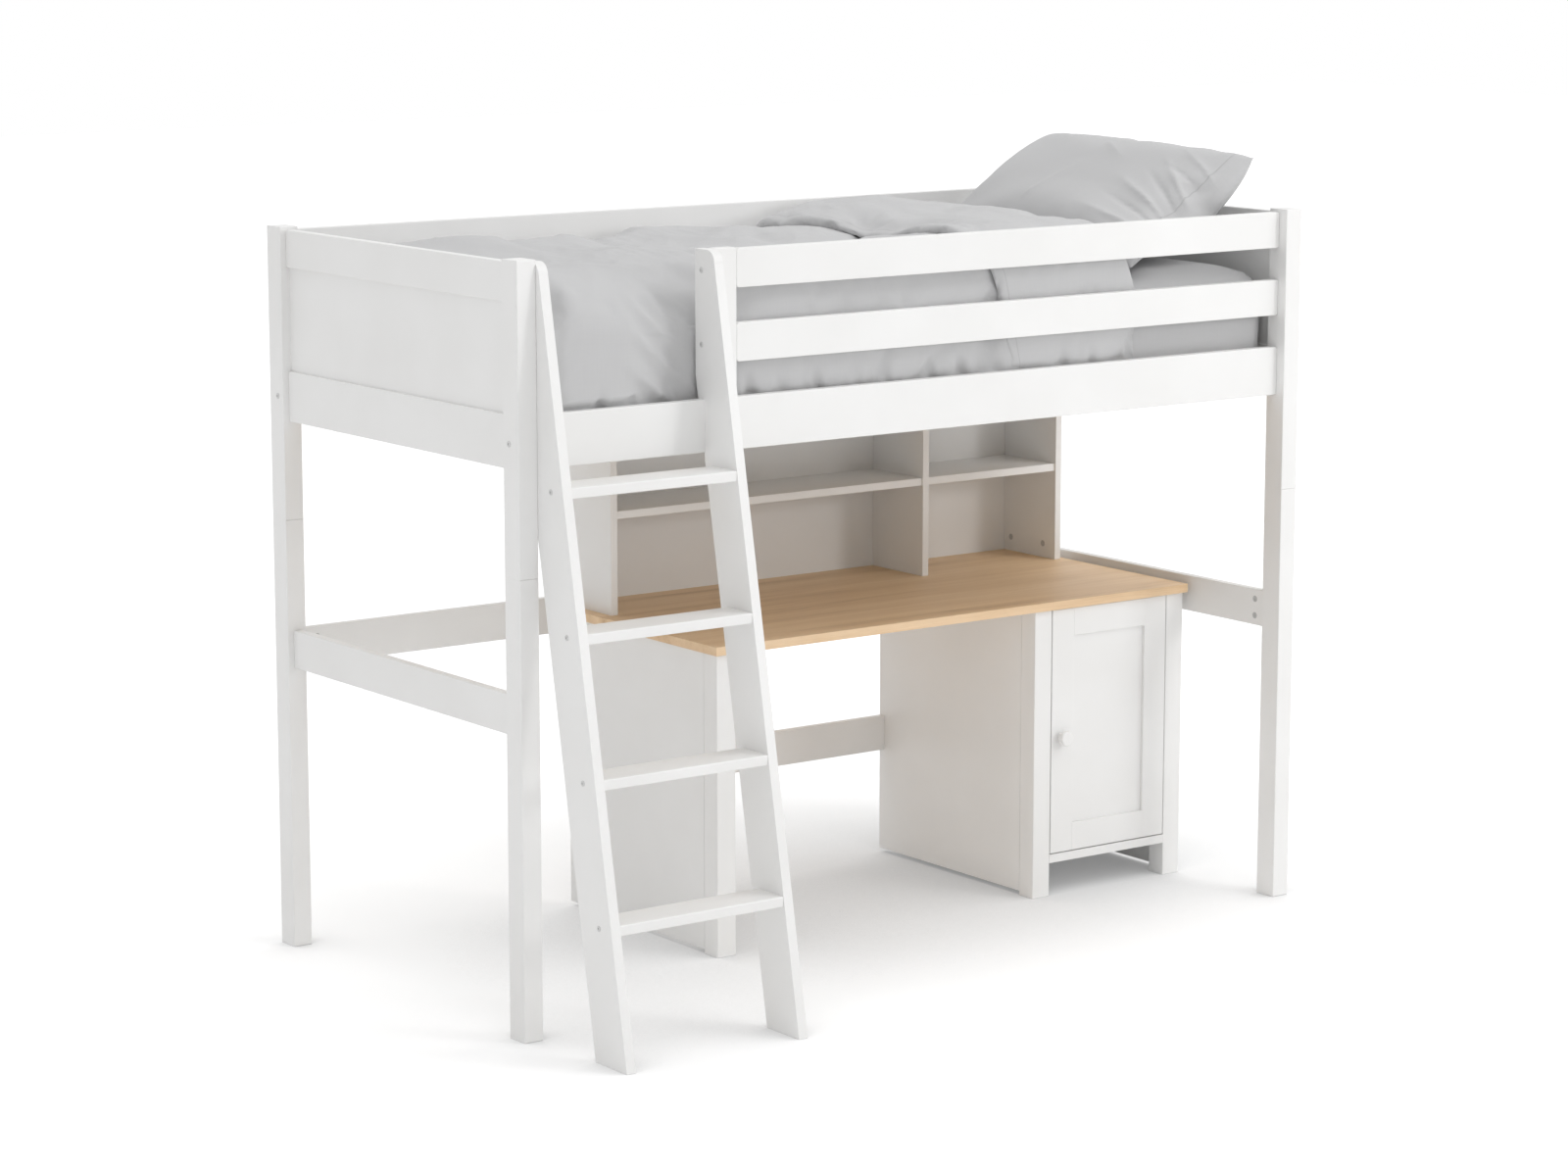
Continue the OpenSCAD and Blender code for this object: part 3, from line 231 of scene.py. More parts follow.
class SharedEffects:
    """The shader node groups that several finishes use."""

    def __init__(self) -> None:
        """Builds each group once."""
        self.coat = self._coat()
        self.grain = self._grain()
        self.weave = self._weave()
        self.mottle = self._mottle()

    @staticmethod
    def use(graph: Graph, tree: bpy.types.NodeTree, **values: object) -> bpy.types.Node:
        """Places a group in a material with its own values.

        Args:
            graph: the material's graph.
            tree: one of this object's groups.
            values: the group's inputs, as in Graph.add.

        Returns:
            The group node.
        """
        node = graph.tree.nodes.new("ShaderNodeGroup")
        node.node_tree = tree
        for key, value in values.items():
            socket = node.inputs[key.replace("_", " ")]
            if isinstance(value, bpy.types.NodeSocket):
                graph.tree.links.new(value, socket)
            else:
                socket.default_value = value
        return node

    @staticmethod
    def _mottle() -> bpy.types.NodeTree:
        """Soft uneven tone of a large surface: a value about 0.5.

        Returns:
            The group's tree.
        """
        tree, g, here, out = group_tree(
            "soft mottle",
            {"Vector": ("Vector", None), "Scale": ("Float", 6.0)},
            {"Tone": "Float"},
        )
        at = g.scaled(here.outputs[0], here.outputs[1])
        broad = g.noise(at, 1.0, 3.0, 0.55)
        fine = g.noise(at, 5.3, 2.0, 0.5)
        g.deliver(out, g.math("MULTIPLY_ADD", fine, 0.35, g.math("MULTIPLY", broad, 0.65)))
        return tree

    @staticmethod
    def _coat() -> bpy.types.NodeTree:
        """Sprayed and rolled paint: a fine orange-peel skin and slow patches of tone.

        Returns:
            The group's tree.
        """
        tree, g, here, out = group_tree(
            "painted coat",
            {"Vector": ("Vector", None), "Peel": ("Float", 700.0), "Patch": ("Float", 4.0)},
            {"Height": "Float", "Tone": "Float", "Rub": "Float"},
        )
        at, peel, patch = here.outputs[:3]
        skin = g.noise(at, peel, 1.5, 0.45)
        slow = g.noise(at, patch, 3.0, 0.5)
        rub = g.noise(g.vector("MULTIPLY", at, (1.0, 1.7, 0.6)), 31.0, 4.0)
        g.deliver(out, skin, slow, rub)
        return tree

    @staticmethod
    def _grain() -> bpy.types.NodeTree:
        """Long wood grain along X of the vector it gets: bands, fibres and pores.

        Returns:
            The group's tree.
        """
        tree, g, here, out = group_tree(
            "straight grain",
            {"Vector": ("Vector", None), "Band": ("Float", 26.0), "Fibre": ("Float", 420.0)},
            {"Band": "Float", "Fibre": "Float", "Pore": "Float"},
        )
        at, band, fibre = here.outputs[:3]
        sway = g.add("TexNoise", Vector=g.vector("MULTIPLY", at, (1.3, 3.0, 3.0)), Scale=1.0, Detail=2.0)
        bent = g.vector("ADD", at, g.scaled(sway.outputs[1], 0.035))
        bands = g.add("TexNoise", Vector=g.vector("MULTIPLY", bent, (0.045, 1.0, 1.0)), Scale=band,
                      Detail=4.0, Roughness=0.62, Distortion=0.15).outputs[0]
        fine = g.noise(g.vector("MULTIPLY", bent, (0.018, 1.0, 1.0)), fibre, 2.0, 0.6)
        pores = g.noise(g.vector("MULTIPLY", bent, (0.05, 1.0, 1.0)), 900.0, 1.0)
        g.deliver(out, bands, fine, g.spread(pores, 0.0, 1.0, 0.66, 0.74))
        return tree

    @staticmethod
    def _weave() -> bpy.types.NodeTree:
        """Plain weave over two cloth coordinates in metres (X and Y of the vector).

        Returns:
            The group's tree.
        """
        tree, g, here, out = group_tree(
            "plain weave",
            {"Vector": ("Vector", None), "Pitch": ("Float", 0.0007), "Slub": ("Float", 60.0)},
            {"Height": "Float", "Slub": "Float"},
        )
        at, pitch, slub = here.outputs[:3]
        parts = g.add("SeparateXYZ", Vector=at).outputs
        turn = [g.math("MULTIPLY", g.math("DIVIDE", parts[i], pitch), math.pi) for i in (0, 1)]
        wave = [g.math("SINE", angle) for angle in turn]
        warp, weft = (g.math("ABSOLUTE", height) for height in wave)
        over = g.math("MULTIPLY", *wave)
        which = g.math("GREATER_THAN", over, 0.0)
        height = g.math("ADD", g.math("MULTIPLY", warp, which),
                        g.math("MULTIPLY", weft, g.math("SUBTRACT", 1.0, which)))
        along, up = (g.noise(g.vector("MULTIPLY", at, stretch), slub, 3.0)
                     for stretch in ((0.06, 1.0, 1.0), (1.0, 0.06, 1.0)))
        g.deliver(out, height, g.math("MULTIPLY", g.math("ADD", along, up), 0.5))
        return tree


# ---------------------------------------------------------------- finishes


class Run(Enum):
    """Axis of the object that the wood grain follows."""

    ALONG = (1.0, 0.0, 0.0)
    ACROSS = (0.0, 1.0, 0.0)
    UP = (0.0, 0.0, 1.0)


@dataclass(frozen=True)
class SatinPaint:
    """White satin paint on wood and fibreboard."""

    name: str = "white satin paint"
    colour: tuple[float, float, float] = (0.875, 0.873, 0.866)
    shade: tuple[float, float, float] = (0.835, 0.831, 0.820)
    roughness: tuple[float, float] = (0.36, 0.50)
    peel_height: float = 0.00003
    edge: float = 0.0016

    def build(self, shared: SharedEffects) -> bpy.types.Material:
        """Makes the material.

        Args:
            shared: the node groups.

        Returns:
            The finished material.
        """
        material, g, surface = new_material(self.name)
        place = g.add("TexCoord").outputs["Object"]
        coat = shared.use(g, shared.coat, Vector=place, Peel=620.0, Patch=3.5)
        worn = edge_mask(g, self.edge)
        tone = g.mix(g.spread(coat.outputs["Tone"], 0.0, 1.0, 0.35, 0.75), self.colour, self.shade)
        tone = g.mix(g.math("MULTIPLY", worn, 0.35), tone, self.shade)
        g.link(tone, surface, "Base Color")
        rub = g.spread(coat.outputs["Rub"], *self.roughness)
        g.link(g.math("ADD", rub, g.math("MULTIPLY", worn, -0.06)), surface, "Roughness")
        bump = g.add("Bump", Strength=0.35, Distance=self.peel_height, Height=coat.outputs["Height"])
        g.link(bump.outputs[0], surface, "Normal")
        return material


@dataclass(frozen=True)
class Timber:
    """A board whose grain shows, oiled, laminated or bare."""

    name: str
    light: tuple[float, float, float]
    middle: tuple[float, float, float]
    dark: tuple[float, float, float]
    run: Run = Run.ALONG
    band: float = 22.0
    fibre: float = 420.0
    roughness: tuple[float, float] = (0.42, 0.58)
    pore_depth: float = 0.00006

    def build(self, shared: SharedEffects) -> bpy.types.Material:
        """Makes the material.

        Args:
            shared: the node groups.

        Returns:
            The finished material.
        """
        material, g, surface = new_material(self.name)
        place = g.add("TexCoord").outputs["Object"]
        parts = g.add("SeparateXYZ", Vector=place).outputs
        order = {Run.ALONG: (0, 1, 2), Run.ACROSS: (1, 0, 2), Run.UP: (2, 0, 1)}[self.run]
        turned = g.add("CombineXYZ", i0=parts[order[0]], i1=parts[order[1]], i2=parts[order[2]]).outputs[0]
        grain = shared.use(g, shared.grain, Vector=turned, Band=self.band, Fibre=self.fibre)
        stretched = g.vector("MULTIPLY", turned, (0.4, 2.2, 2.2))
        mottle = shared.use(g, shared.mottle, Vector=stretched, Scale=5.0)
        tone = g.math("ADD", g.math("MULTIPLY", grain.outputs["Band"], 0.6),
                      g.math("ADD", g.math("MULTIPLY", grain.outputs["Fibre"], 0.22),
                             g.math("MULTIPLY", mottle.outputs[0], 0.18)))
        colour = g.ramp(tone, [(0.34, self.dark), (0.47, self.middle), (0.62, self.light)])
        colour = g.mix(g.math("MULTIPLY", grain.outputs["Pore"], 0.35), colour, self.dark)
        g.link(colour, surface, "Base Color")
        g.link(g.spread(grain.outputs["Fibre"], *self.roughness), surface, "Roughness")
        height = g.math("SUBTRACT", g.math("MULTIPLY", grain.outputs["Fibre"], 0.4), grain.outputs["Pore"])
        bump = g.add("Bump", Strength=0.6, Distance=self.pore_depth, Height=height)
        g.link(bump.outputs[0], surface, "Normal")
        return material


@dataclass(frozen=True)
class SmallMetal:
    """Bolt heads, cams, nuts and hinges."""

    name: str
    colour: tuple[float, float, float]
    metallic: float
    roughness: tuple[float, float] = (0.28, 0.45)

    def build(self, shared: SharedEffects) -> bpy.types.Material:
        """Makes the material.

        Args:
            shared: the node groups.

        Returns:
            The finished material.
        """
        material, g, surface = new_material(self.name)
        place = g.add("TexCoord").outputs["Object"]
        fine = shared.use(g, shared.mottle, Vector=place, Scale=240.0)
        darker = tuple(c * 0.8 for c in self.colour)
        g.link(g.mix(fine.outputs[0], darker, self.colour), surface, "Base Color")
        g.link(g.spread(fine.outputs[0], *self.roughness), surface, "Roughness")
        surface.inputs["Metallic"].default_value = self.metallic
        bump = g.add("Bump", Strength=0.2, Distance=0.00005, Height=fine.outputs[0])
        g.link(bump.outputs[0], surface, "Normal")
        return material


@dataclass(frozen=True)
class WovenCotton:
    """Plain woven bed linen; the piece's cloth attribute gives the thread directions."""

    name: str
    colour: tuple[float, float, float]
    shade: tuple[float, float, float]
    pitch: float = 0.00075
    sheen: float = 0.25
    roughness: tuple[float, float] = (0.78, 0.92)
    thread_height: float = 0.00022
    stitch: float = 0.0022
    crumple: float = 0.0007

    def build(self, shared: SharedEffects) -> bpy.types.Material:
        """Makes the material.

        Args:
            shared: the node groups.

        Returns:
            The finished material.
        """
        material, g, surface = new_material(self.name)
        cloth = g.add("Attribute", attribute_name="cloth").outputs["Vector"]
        seam = g.math("ABSOLUTE", g.add("Attribute", attribute_name="seam").outputs["Fac"])
        seam = g.spread(g.math("MULTIPLY", seam, 1.0 / self.stitch), 1.0, 0.0)
        place = g.add("TexCoord").outputs["Object"]
        weave = shared.use(g, shared.weave, Vector=cloth, Pitch=self.pitch, Slub=230.0)
        mottle = shared.use(g, shared.mottle, Vector=place, Scale=9.0)
        tone = g.mix(weave.outputs["Slub"], self.shade, self.colour)
        tone = g.mix(g.math("MULTIPLY", mottle.outputs[0], 0.18), tone, self.shade)
        # painted shade: the tone is darkened along the stitched line, where its groove lies
        tone = g.mix(g.math("MULTIPLY", seam, 0.5), tone, tuple(c * 0.72 for c in self.shade))
        g.link(tone, surface, "Base Color")
        g.link(g.spread(weave.outputs["Slub"], *self.roughness), surface, "Roughness")
        surface.inputs["Sheen Weight"].default_value = self.sheen
        surface.inputs["Sheen Roughness"].default_value = 0.5
        surface.inputs["Specular IOR Level"].default_value = 0.25
        soft = g.add("TexNoise", Vector=place, Scale=38.0, Detail=5.0, Roughness=0.62,
                     Distortion=0.6).outputs[0]
        soft = g.math("MULTIPLY_ADD", seam, -1.2, soft)
        first = g.add("Bump", Strength=0.5, Distance=self.crumple, Height=soft)
        threads = g.add("Bump", Strength=0.45, Distance=self.thread_height, Height=weave.outputs["Height"],
                        Normal=first.outputs[0])
        g.link(threads.outputs[0], surface, "Normal")
        return material


def new_material(name: str) -> tuple[bpy.types.Material, Graph, bpy.types.Node]:
    """Makes an empty material with a Principled surface.

    Args:
        name: the material's name.

    Returns:
        The material, its graph and its Principled node.
    """
    material = bpy.data.materials.new(name)
    material.use_nodes = True
    graph = Graph(material.node_tree)
    return material, graph, material.node_tree.nodes["Principled BSDF"]


def edge_mask(graph: Graph, radius: float) -> bpy.types.NodeSocket:
    """Marks the edges of a board, 0 on its faces and up to 1 on its edges.

    Args:
        graph: the material's graph.
        radius: how far from an edge the mark reaches.

    Returns:
        The mask.
    """
    round_off = graph.add("Bevel", samples=4, Radius=radius).outputs[0]
    flat = graph.add("NewGeometry").outputs["Normal"]
    same = graph.add("VectorMath", operation="DOT_PRODUCT", i0=round_off, i1=flat).outputs["Value"]
    return graph.spread(same, 0.0, 1.0, 1.0, 0.8)


# ---------------------------------------------------------------- studio


@dataclass
class Studio:
    """Camera, floor and lamps.

    Attributes:
        camera_at: place of the camera.
        heading: where it looks, in degrees from the way to the back.
        tilt: how far it looks down, in degrees.
        lens: its focal length in millimetres, and sensor its picture's width.
        floor_half: half the floor's side.
        floor_drop: how far the floor lies below the legs.
        floor_tone: grey of the floor where the camera sees it.
        floor_bounce: grey of the floor that lights the object.
        floor_glow: light that the seen floor gives off, which makes it white.
        floor_shade: how much darker the seen floor is painted where things cover it, a painted shadow.
        shade_reach: distance within which things cover it for that painted shadow.
        world: light from the horizon, and zenith light from above.
        key: power of the broad lamp, with key_size and key_at its size and place.
        fill: power of the low lamp, with fill_size and fill_at.
        aim_height: height on the object that both lamps point at.
    """

    camera_at: tuple[float, float, float] = (-5.4402, -7.2568, 2.3799)
    heading: float = 36.12
    tilt: float = 9.937
    lens: float = 95.106
    sensor: float = 36.0
    floor_half: float = 26.0
    floor_drop: float = 0.0005
    floor_tone: float = 0.64
    floor_bounce: float = 1.0
    floor_glow: float = 0.60
    floor_shade: float = 0.66
    shade_reach: float = 1.3
    world: float = 0.405
    zenith: float = 1.15
    key: float = 88.0
    key_size: float = 3.8
    key_at: tuple[float, float, float] = (4.0, -3.7, 5.9)
    fill: float = 62.0
    fill_size: float = 1.6
    fill_at: tuple[float, float, float] = (3.6, -5.8, 2.8)
    aim_height: float = 0.9

    def build(self) -> None:
        """Builds the whole studio."""
        self._camera()
        self._floor()
        self._world()
        self._lamps()

    def _camera(self) -> None:
        """Sets the camera at the photograph's place."""
        data = bpy.data.cameras.new("camera")
        data.sensor_width, data.lens = self.sensor, self.lens
        data.clip_start, data.clip_end = 0.1, 200.0
        camera = bpy.data.objects.new("camera", data)
        bpy.context.scene.collection.objects.link(camera)
        a, p = math.radians(self.heading), math.radians(self.tilt)
        ahead = Vector((math.sin(a) * math.cos(p), math.cos(a) * math.cos(p), -math.sin(p)))
        camera.location = self.camera_at
        camera.rotation_euler = ahead.to_track_quat("-Z", "Y").to_euler()
        bpy.context.scene.camera = camera

    def _floor(self) -> None:
        """Lays a pale floor that shows white and keeps the shadow, with a painted shadow where things cover
        it.
        """
        bpy.ops.object.select_all(action="DESELECT")
        bpy.ops.mesh.primitive_plane_add(size=2 * self.floor_half, location=(0.0, 0.0, -self.floor_drop))
        floor = bpy.context.object
        floor.name = "floor"
        material = bpy.data.materials.new("pale floor")
        material.use_nodes = True
        tree = material.node_tree
        tree.nodes.clear()
        g = Graph(tree)
        seen = g.add("LightPath").outputs["Is Camera Ray"]
        # painted shadow: ambient occlusion darkens the seen floor's tone and its glow where things cover it
        covered = g.add("AmbientOcclusion", Distance=self.shade_reach).outputs["AO"]
        clear = g.math("MULTIPLY_ADD", covered, self.floor_shade, 1.0 - self.floor_shade)
        tone = g.math("MULTIPLY", clear, self.floor_tone)
        tone = g.add("CombineXYZ", X=tone, Y=tone, Z=tone).outputs[0]
        colour = g.mix(seen, (self.floor_bounce,) * 3, tone)
        matte = g.add("BsdfDiffuse", Color=colour, Roughness=0.6)
        glow = g.math("MULTIPLY", g.math("MULTIPLY", seen, clear), self.floor_glow)
        glow = g.add("Emission", Color=(1.0, 1.0, 1.0, 1.0), Strength=glow)
        both = g.add("AddShader", i0=matte.outputs[0], i1=glow.outputs[0])
        g.add("OutputMaterial", Surface=both.outputs[0])
        floor.data.materials.append(material)

    def _world(self) -> None:
        """Lights from all round; white where the camera, gloss or glass see it."""
        world = bpy.data.worlds.new("studio")
        bpy.context.scene.world = world
        world.use_nodes = True
        tree = world.node_tree
        tree.nodes.clear()
        g = Graph(tree)
        light = g.add("LightPath")
        seen = g.math("MAXIMUM", light.outputs["Is Camera Ray"], light.outputs["Is Glossy Ray"])
        seen = g.math("MAXIMUM", seen, light.outputs["Is Transmission Ray"])
        up = g.add("SeparateXYZ", Vector=g.add("TexCoord").outputs["Generated"]).outputs[2]
        strength = g.mix_value(seen, g.spread(up, self.world, self.zenith), 1.0)
        sky = g.add("Background", Color=(1.0, 1.0, 1.0, 1.0), Strength=strength)
        g.add("OutputWorld", Surface=sky.outputs[0])

    def _lamps(self) -> None:
        """Hangs a broad soft lamp in front, towards the head end, and a low fill below it."""
        for name, at, size, energy in (("soft key", self.key_at, self.key_size, self.key),
                                       ("low fill", self.fill_at, self.fill_size, self.fill)):
            data = bpy.data.lights.new(name, "AREA")
            data.shape, data.size, data.energy = "DISK", size, energy
            lamp = bpy.data.objects.new(name, data)
            bpy.context.scene.collection.objects.link(lamp)
            lamp.location = at
            aim = Vector((0.0, 0.0, self.aim_height)) - lamp.location
            lamp.rotation_euler = aim.to_track_quat("-Z", "Y").to_euler()


# ---------------------------------------------------------------- the rigid parts


@dataclass
class BoardGroup:
    """Nodes of the frame that share one finish."""

    title: str
    nodes: tuple[str, ...]

    def dress(self, frame: dict, material: bpy.types.Material) -> None:
        """Gives each node the finish.

        Args:
            material: the finish.
        """
        for name in self.nodes:
            mesh = frame["nodes"][name].data
            if not mesh.materials:
                mesh.materials.append(material)
            for i in range(len(mesh.materials)):
                mesh.materials[i] = material
        LOG.info("%s: %s on %d nodes", self.title, material.name, len(self.nodes))


PAINTED = (
    BoardGroup("posts and legs", ("leg_front_left", "leg_front_right", "leg_back_left", "leg_back_right",
                                  "post_front_left", "post_front_right",
                                  "post_back_left", "post_back_right")),
    BoardGroup("ends", ("foot_top_rail", "foot_panel", "foot_bottom_rail",
                        "head_top_rail", "head_panel", "head_bottom_rail")),
    BoardGroup("rails", ("front_side_rail", "back_side_rail", "guard_top_rail", "guard_mid_rail",
                         "guard_post", "back_guard_top_rail", "back_guard_mid_rail",
                         "lower_rail_foot", "lower_rail_head", "lower_rail_back")),
    BoardGroup("ladder", ("ladder_stile_left", "ladder_stile_right", "ladder_treads")),
    BoardGroup("desk", ("desk_side_panel", "desk_pillars", "desk_back_rail")),
    BoardGroup("cupboard", ("cupboard_left_panel", "cupboard_right_panel", "cupboard_floor",
                            "cupboard_back", "cupboard_shelf")),
    BoardGroup("door", ("door_stiles", "door_rails", "door_panel", "door_knob")),
    BoardGroup("shelf unit", ("hutch_sides", "hutch_divider", "hutch_top", "hutch_back", "hutch_shelves")),
)
OAK = ((0.86, 0.64, 0.42), (0.78, 0.555, 0.34), (0.60, 0.40, 0.225))
PINE = ((0.76, 0.60, 0.38), (0.70, 0.52, 0.31), (0.58, 0.38, 0.20))
BEECH = ((0.68, 0.50, 0.33), (0.62, 0.44, 0.28), (0.5, 0.34, 0.2))
GRAINED = (
    (BoardGroup("desk top", ("desk_top",)), Timber("oak effect board", *OAK)),
    (BoardGroup("slats", ("bed_slats",)), Timber("bare pine slats", *PINE, Run.ACROSS, 34.0)),
    (BoardGroup("bearers", ("slat_bearers",)), Timber("bare pine bearers", *PINE, Run.ALONG, 34.0)),
    (BoardGroup("dowels", ("leg_dowels", "rail_dowels")), Timber("beech dowels", *BEECH, Run.UP, 60.0)),
)
METAL = (
    (BoardGroup("bolt heads", ("ladder_bolts", "frame_bolts")),
     SmallMetal("light grey coated steel", (0.74, 0.74, 0.735), 0.25)),
    (BoardGroup("cams, nuts and hinges", ("barrel_nuts", "cam_locks", "cam_bolts", "shelf_pins",
                                          "hinge_cups", "hinge_arms")),
     SmallMetal("zinc plated steel", (0.60, 0.60, 0.60), 0.85)),
)


# ---------------------------------------------------------------- bedding


def ease(value: np.ndarray | float) -> np.ndarray | float:
    """Runs smoothly from 0 to 1 as the value does."""
    t = np.clip(value, 0.0, 1.0)
    return t * t * (3 - 2 * t)


def softplus(value: np.ndarray, width: float) -> np.ndarray:
    """The value where it is positive and 0 elsewhere, rounded over the width."""
    return width * np.logaddexp(0.0, value / width)


def limit(move: np.ndarray, cap: np.ndarray | float) -> np.ndarray:
    """Shortens moves softly so that none is longer than the cap."""
    length = np.maximum(np.linalg.norm(move, axis=-1, keepdims=True), 1e-9)
    return move * cap * np.tanh(length / cap) / length


def arc_length(points: np.ndarray) -> np.ndarray:
    """Way along a line of points, from its first one to each."""
    return np.cumsum(np.r_[0, np.linalg.norm(np.diff(points, axis=0), axis=1)])


def from_ends(count: int) -> np.ndarray:
    """Steps from each of a line's points to its nearer end."""
    return np.minimum(np.arange(count), np.arange(count)[::-1])


def odd_lines(lines: list[tuple[float, ...]], at: int) -> np.ndarray:
    """Brings a list of grid lines to an odd number, so that every second one ends on the rim.

    Args:
        lines: place and further values of each line.
        at: where a line halfway between its neighbours is added if their number is even.

    Returns:
        The lines' places and values, one row for each kind.
    """
    if len(lines) % 2 == 0:
        lines.insert(at, tuple((np.array(lines[at - 1]) + np.array(lines[at])) / 2))
    return np.array(lines).T


def refine(grid: np.ndarray) -> np.ndarray:
    """Doubles a grid of points with a smooth curve through them.

    Args:
        grid: points, shaped (rows, columns, 3).

    Returns:
        The grid with a new line between each two.
    """
    for axis in (0, 1):
        g = np.moveaxis(grid, axis, 0)
        far = np.concatenate([2 * g[:1] - g[1:2], g, 2 * g[-1:] - g[-2:-1]])
        between = (9 * (far[1:-2] + far[2:-1]) - far[:-3] - far[3:]) / 16
        out = np.empty((2 * len(g) - 1, *g.shape[1:]))
        out[0::2], out[1::2] = g, between
        grid = np.moveaxis(out, 0, axis)
    return grid


def blur(grid: np.ndarray, reach: int) -> np.ndarray:
    """Smooths a grid of points; straight slopes at its rim stay as they are.

    Args:
        grid: points, shaped (rows, columns, 3).
        reach: radius of the smoothing in cells.

    Returns:
        The smoothed grid.
    """
    for axis in (0, 1):
        g = np.moveaxis(grid, axis, 0)
        for _ in range(3):
            far = np.concatenate([2 * g[:1] - g[reach:0:-1], g, 2 * g[-1:] - g[-2:-reach - 2:-1]])
            total = np.cumsum(np.concatenate([0 * far[:1], far]), axis=0)
            g = (total[2 * reach + 1:] - total[:-2 * reach - 1]) / (2 * reach + 1)
        grid = np.moveaxis(g, 0, axis)
    return grid


def normals_of(grid: np.ndarray) -> np.ndarray:
    """Unit normals of a grid of points, columns turned onto rows.

    Args:
        grid: points, shaped (rows, columns, 3).

    Returns:
        The normals, in the same shape.
    """
    across = np.gradient(grid, axis=1)
    along = np.gradient(grid, axis=0)
    out = np.cross(across, along)
    return out / np.maximum(np.linalg.norm(out, axis=2, keepdims=True), 1e-12)


class Waves(NamedTuple):
    """A family of plane waves in cloth.

    Attributes:
        length: mean wave length in metres.
        count: number of waves.
        heading: main direction of travel in radians.
        fan: how far the directions spread about the heading.
        depth: height in metres of the folds that they make, where they make any.
    """

    length: float
    count: int
    heading: float = 0.0
    fan: float = math.pi
    depth: float = 0.0


class Lattice:
    """Smooth random waves that are the same in each run.

    Attributes:
        random: draws the waves, in the order in which they are asked for.
        lengths: shortest and longest wave, as shares of a family's mean length.
    """

    lengths = (0.7, 1.5)

    def __init__(self, seed: int) -> None:
        """Keeps the seed.

        Args:
            seed: picks the pattern.
        """
        self.random = np.random.RandomState(seed)

    def waves(self, u: np.ndarray, v: np.ndarray, family: Waves) -> np.ndarray:
        """Sums plane waves.

        Args:
            u: first coordinate of each point.
            v: second coordinate.
            family: their length, number and directions.

        Returns:
            Values of about -1 to 1.
        """
        total = np.zeros_like(u)
        for _ in range(family.count):
            turn = family.heading + self.random.uniform(-family.fan, family.fan)
            k = 2 * math.pi / (family.length * self.random.uniform(*self.lengths))
            phase = self.random.uniform(0, 2 * math.pi)
            total += np.sin(k * (u * math.cos(turn) + v * math.sin(turn)) + phase)
        return total / math.sqrt(family.count)


def cloth_piece(name: str, points: np.ndarray, faces: list[tuple[int, ...]], cloth: np.ndarray,
                seam: np.ndarray, material: bpy.types.Material | None) -> bpy.types.Object:
    """Makes a smooth piece that carries its thread directions and seams.

    Args:
        name: the piece's name.
        points: its points, shaped (count, 3).
        faces: the point numbers of each face.
        cloth: cloth coordinates in metres of each point.
        seam: distance in metres of each point from the nearest stitched line.
        material: its finish.

    Returns:
        The new object, at the origin.
    """
    mesh = bpy.data.meshes.new(name)
    mesh.from_pydata(points.tolist(), [], faces)
    mesh.update()
    threads = np.column_stack([cloth, np.zeros(len(cloth))]).astype(np.float32)
    mesh.attributes.new("cloth", "FLOAT_VECTOR", "POINT").data.foreach_set("vector", threads.ravel())
    mesh.attributes.new("seam", "FLOAT", "POINT").data.foreach_set("value", seam.astype(np.float32))
    mesh.polygons.foreach_set("use_smooth", [True] * len(mesh.polygons))
    if material:
        mesh.materials.append(material)
    piece = bpy.data.objects.new(name, mesh)
    bpy.context.scene.collection.objects.link(piece)
    return piece


def skin_piece(name: str, outer: np.ndarray, inner: np.ndarray, cloth: np.ndarray,
               seam: np.ndarray, material: bpy.types.Material | None) -> bpy.types.Object:
    """Closes an outer and an inner grid of the same outline into one padded solid.

    Args:
        name: the piece's name.
        outer: outer points, shaped (rows, columns, 3).
        inner: inner points, of each or every second row and column; its rim isn't used.
        cloth: cloth coordinates in metres of the outer points, shaped (rows, columns, 2).
        seam: distance in metres of each outer point from the nearest stitched line.
        material: its finish.

    Returns:
        The new object, at the origin.
    """
    rows, cols = outer.shape[:2]
    few_r, few_c = inner.shape[:2]
    step = (rows - 1) // (few_r - 1)
    assert (rows - 1) == step * (few_r - 1) and (cols - 1) == step * (few_c - 1)
    ids = np.arange(rows * cols).reshape(rows, cols)
    own = np.full((few_r, few_c), -1)
    own[1:-1, 1:-1] = rows * cols + np.arange((few_r - 2) * (few_c - 2)).reshape(few_r - 2, few_c - 2)
    rim = own < 0
    own[rim] = ids[::step, ::step][rim]
    quads = np.stack([ids[:-1, :-1], ids[1:, :-1], ids[1:, 1:], ids[:-1, 1:]], -1).reshape(-1, 4)
    faces = [tuple(map(int, q)) for q in quads] + _under_faces(ids, own, step)
    points = np.concatenate([outer.reshape(-1, 3), inner[1:-1, 1:-1].reshape(-1, 3)])
    if _volume(points, quads, own) < 0:
        faces = [face[::-1] for face in faces]
    threads = np.concatenate([cloth.reshape(-1, 2), cloth[::step, ::step][1:-1, 1:-1].reshape(-1, 2)])
    marks = np.concatenate([seam.ravel(), seam[::step, ::step][1:-1, 1:-1].ravel()])
    return cloth_piece(name, points, faces, threads, marks, material)


